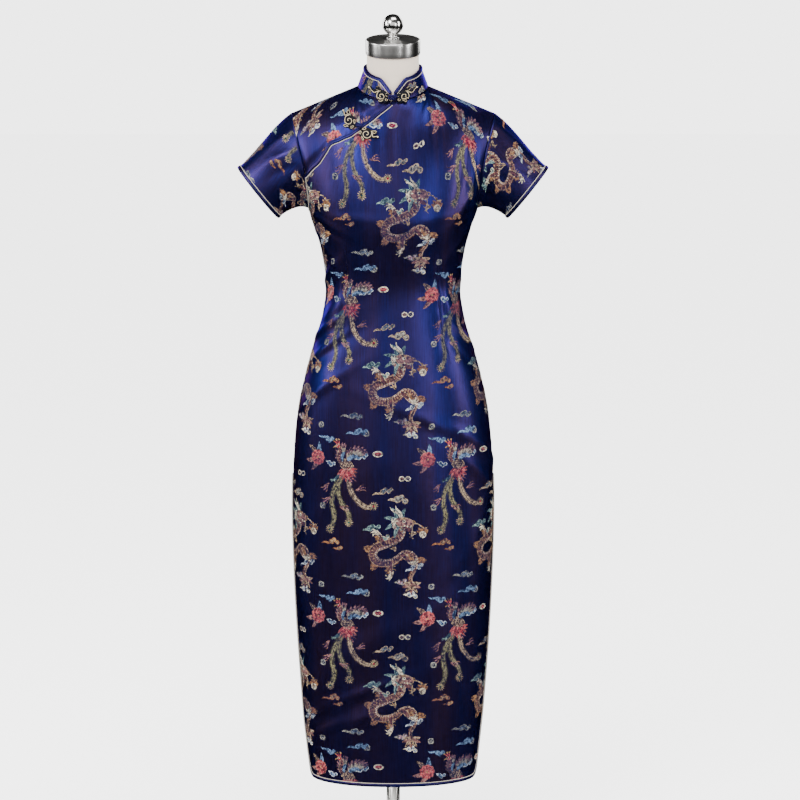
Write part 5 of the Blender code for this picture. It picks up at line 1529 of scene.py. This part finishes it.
def thread_material(name, colour):
    """Silk weft floats: fine slanted ribs of coloured thread with the navy warp showing between."""
    material, nodes, links, shader = new_material("thread " + name)
    place = add_node(nodes, "ShaderNodeTexCoord")
    ribs = add_node(nodes, "ShaderNodeTexWave", Scale=260.0, Distortion=1.5, bands_direction="DIAGONAL")
    dye = add_node(nodes, "ShaderNodeTexNoise", Scale=240.0, Detail=3.0)
    drift = add_node(nodes, "ShaderNodeTexNoise", Scale=14.0, Detail=1.0)
    ramp = colour_ramp(nodes, [c * 0.14 for c in colour], [min(c * 1.75, 0.8) for c in colour], 0.36, 0.62)
    cover = change_range(nodes, start=0.22, end=0.55)
    ground = add_node(nodes, "ShaderNodeMixRGB")
    ground.inputs[1].default_value = (0.003, 0.005, 0.026, 1)
    # random patches where less thread colour shows: wear, together with painted sheen that makes the threads
    # brighter in some places than in others
    wear_and_sheen = change_range(nodes, 0.45, 1.0, 0.35, 0.65)
    share = add_node(nodes, "ShaderNodeMath", operation="MULTIPLY")
    bump = add_node(nodes, "ShaderNodeBump", Strength=0.45, Distance=0.0002)
    shader.inputs["Roughness"].default_value = 0.38
    shader.inputs["Metallic"].default_value = 0.35
    shader.inputs["Specular IOR Level"].default_value = 0.25
    shader.inputs["Specular Tint"].default_value = (*[min(c * 3.0, 1.0) for c in colour], 1)
    for source, target in [
        (place.outputs["Object"], ribs.inputs["Vector"]), (place.outputs["Object"], dye.inputs["Vector"]),
        (place.outputs["Object"], drift.inputs["Vector"]), (dye.outputs["Fac"], ramp.inputs[0]),
        (ribs.outputs["Fac"], cover.inputs[0]), (drift.outputs["Fac"], wear_and_sheen.inputs[0]),
        (cover.outputs[0], share.inputs[0]), (wear_and_sheen.outputs[0], share.inputs[1]),
        (share.outputs[0], ground.inputs[0]), (ramp.outputs[0], ground.inputs[2]),
        (ground.outputs[0], shader.inputs["Base Color"]), (ribs.outputs["Fac"], bump.inputs["Height"]),
        (bump.outputs[0], shader.inputs["Normal"]),
    ]:
        links.new(source, target)
    return material


thread_materials = [thread_material(name, THREADS[name]) for name in thread_names]


def weave(name, low, high, origin, lay, skew=lambda along: 0.0 * along, turn=0.0):
    """Joined threads of every repeat that meets a rectangle of cloth, laid on a piece of the dress."""
    step = np.array(REPEAT) * MILLIMETRE
    spin = np.array([[math.cos(turn), math.sin(turn)], [-math.sin(turn), math.cos(turn)]])
    flat = chart_points[:, :2] @ spin
    points, faces, threads, count = [], [], [], 0
    for i in range(-6, 7):
        for j in range(-6, 7):
            place = flat + origin + (step * (i, j)) @ spin
            place[:, 0] += skew(place[:, 1])
            within = ((place > low) & (place < high)).all(axis=1)
            keep = within[chart_faces].all(axis=1)
            if keep.any():
                used, kept = np.unique(chart_faces[keep], return_inverse=True)
                points.append(np.column_stack([place[used], chart_points[used, 2]]))
                faces.append(kept.reshape(-1, 4) + count)
                threads.append(chart_threads[keep])
                count += len(used)
    solid, near, inside = lay(np.vstack(points))
    faces, threads = np.vstack(faces), np.concatenate(threads)
    keep = near[faces].all(axis=1) & inside[faces].any(axis=1)
    used, faces = np.unique(faces[keep], return_inverse=True)
    piece = make_mesh(name, solid[used], [faces.reshape(-1, 4)], thread_materials[0])
    for material in thread_materials[1:]:
        piece.data.materials.append(material)
    piece.data.polygons.foreach_set("material_index", threads[keep].astype(np.int32))
    return piece


def panel_table(side):
    """Levels, turns and the distances across and along the cloth that they stand at."""
    levels = np.concatenate([np.linspace(HEM, ARMPIT, 150), np.linspace(ARMPIT, TOP, 40)[1:]])
    turns = np.linspace(-1, 1, 161)
    centre = len(turns) // 2
    turn, level = np.meshgrid(turns, levels)
    grid = body_plain(turn, level, side)
    steps = np.linalg.norm(np.diff(grid, axis=1), axis=-1)
    across = np.hstack([np.zeros((len(levels), 1)), steps.cumsum(axis=1)])
    across -= across[:, centre:centre + 1]
    along = np.concatenate([[0.0], np.linalg.norm(np.diff(grid[:, centre], axis=0), axis=-1).cumsum()])
    return levels, turns, across, along


def on_panel(side, top_level, drop=lambda turn, level: 0.0, lowest=None):
    """Way to lay cloth places on a body panel, below its top edge and above the lowest one."""
    levels, turns, across, along = panel_table(side)

    def lay(points):
        level = np.interp(points[:, 1], along, levels)
        row = np.clip(np.searchsorted(levels, level) - 1, 0, len(levels) - 2)
        share = (level - levels[row]) / (levels[row + 1] - levels[row])
        turn = np.zeros(len(points))
        for k in np.unique(row):
            here = row == k
            low, high = (np.interp(points[here, 0], across[n], turns, left=-2, right=2) for n in (k, k + 1))
            turn[here] = low + (high - low) * share[here]
        near = (level < top_level(turn) - 0.002) & (level > HEM + 0.004 + hem_rise(turn))
        near &= points[:, 1] < along[-1]
        if lowest is not None:
            near &= (level > lowest(turn)) & (turn < UNDER_END)
        inside = near & (np.abs(turn) < slit_turn(level))
        turn = np.clip(turn, -slit_turn(level), slit_turn(level))
        return body_point(turn, level, side, points[:, 2] + drop(turn, level)), near, inside
    return lay


def front_skew(along):
    """Shift of the front's pattern to the wearer's left, which grows above the waist."""
    return 0.004 + 0.026 * ease((along - 0.80) / 0.30)


SLEEVE_ROUND, SLEEVE_LENGTH = 0.37, 0.130


def on_sleeve(hand):
    """Way to lay cloth places round a sleeve, clear of its seam."""
    def lay(points):
        around, along = points[:, 0] / SLEEVE_ROUND, 1 - points[:, 1] / SLEEVE_LENGTH
        near = (around > 0.004) & (around < 0.996) & (along > 0.02) & (along < 0.985)
        return sleeve_point(np.clip(around, 0, 1), np.clip(along, 0, 1), hand, points[:, 2]), near, near
    return lay


def on_collar(points):
    """Lays cloth places on the collar."""
    angle, share = points[:, 0] / NECK_HALF, points[:, 1] / (COLLAR_FRONT + COLLAR_RISE)
    near = (np.abs(angle) > 0.03) & (np.abs(angle) < 3.1) & (share > 0.03) & (share < 0.96)
    return collar_point(angle, np.clip(share, 0, 1), points[:, 2]), near, near


on_front, on_back = on_panel(FRONT, front_top), on_panel(BACK, whole_top)
front_threads = weave("front_motifs", (-0.25, 0.0), (0.25, 1.32), (0.0, 0.470), on_front, front_skew)
back_threads = weave("back_motifs", (-0.25, 0.0), (0.25, 1.34), (0.05, 0.540), on_back)
on_under = on_panel(FRONT, whole_top, under_out, lambda turn: opening_level(turn) + 0.002)
under_threads = weave("under_motifs", (-0.25, 1.0), (0.02, 1.34), (-0.115, 1.020), on_under, turn=0.35)
sleeve_cut = (SLEEVE_ROUND, 0.15)
left_threads = weave("sleeve_left_motifs", (0.0, 0.0), sleeve_cut, (0.02, 0.10), on_sleeve(-1), turn=-0.2)
right_threads = weave("sleeve_right_motifs", (0.0, 0.0), sleeve_cut, (0.10, 0.10), on_sleeve(1), turn=0.2)
collar_threads = weave("collar_motifs", (-0.21, 0.0), (0.21, 0.04), (0.055, -0.075), on_collar)

# ---------------------------------------------------------------------------------------------
# Floor, lights and camera. A plain pale floor under an even white sky that lights what is matt, and
# soft lamps for the gloss: a key at the upper left, strips at both sides, in front and by the neck,
# one above, a wide fill, and two behind that add gloss and no matt light.
paper, _, _, shader = new_material("pale floor")
shader.inputs["Base Color"].default_value = (0.95, 0.95, 0.95, 1)
shader.inputs["Roughness"].default_value = 0.9
shader.inputs["Specular IOR Level"].default_value = 0.0
floor_mesh = bpy.data.meshes.new("floor")
floor_mesh.from_pydata([(-60, -60, 0), (60, -60, 0), (60, 60, 0), (-60, 60, 0)], [], [(0, 1, 2, 3)])
floor_mesh.materials.append(paper)
floor = bpy.data.objects.new("floor", floor_mesh)
bpy.context.scene.collection.objects.link(floor)
floor.visible_glossy = False

sky = bpy.data.worlds.new("studio")
sky.use_nodes = True
sky.node_tree.nodes["Background"].inputs["Color"].default_value = (1.0, 1.0, 1.0, 1)
sky.node_tree.nodes["Background"].inputs["Strength"].default_value = 4.0
sky.cycles_visibility.glossy = False
bpy.context.scene.world = sky


def soft_light(name, place, target, size, glow):
    """Rectangular lamp of an even glow, which is its power over its area."""
    data = bpy.data.lights.new(name, "AREA")
    data.shape = "RECTANGLE"
    data.size, data.size_y = size
    data.energy = glow * size[0] * size[1] * math.pi
    lamp = bpy.data.objects.new(name, data)
    bpy.context.scene.collection.objects.link(lamp)
    lamp.location = place
    lamp.rotation_euler = (Vector(target) - Vector(place)).to_track_quat("-Z", "Y").to_euler()
    lamp.visible_camera = False
    return lamp


soft_light("key", (-2.2, -3.0, 3.4), (0, 0, 1.1), (1.6, 1.6), 17)
soft_light("left strip", (-3.2, -0.6, 2.2), (0, 0, 1.2), (0.7, 1.8), 15)
soft_light("right strip", (3.2, -1.2, 1.9), (0, 0, 1.0), (0.6, 2.2), 14)
soft_light("above", (0.3, -1.2, 4.2), (0, 0, 1.2), (1.8, 1.0), 12)
soft_light("front strip", (3.2, -5.2, 1.4), (0, 0, 0.9), (0.9, 2.7), 9)
soft_light("neck strip", (-2.4, -1.4, 1.5), (0, 0, 1.5), (0.40, 0.8), 7)
soft_light("fill", (0.0, -7.5, 2.4), (0, 0, 0.9), (9.0, 4.5), 1.3)
for name, place in (("rear left", (-2.4, 3.0, 2.2)), ("rear right", (2.0, 3.4, 2.6))):
    soft_light(name, place, (0, 0, 1.0), (1.4, 2.2), 6).visible_diffuse = False

camera_data = bpy.data.cameras.new("camera")
camera_data.lens = 93.96
camera = bpy.data.objects.new("camera", camera_data)
bpy.context.scene.collection.objects.link(camera)
camera.location = (0.0127, -3.8, 1.45)
camera.rotation_euler = (math.radians(81.44), 0, 0)
bpy.context.scene.camera = camera
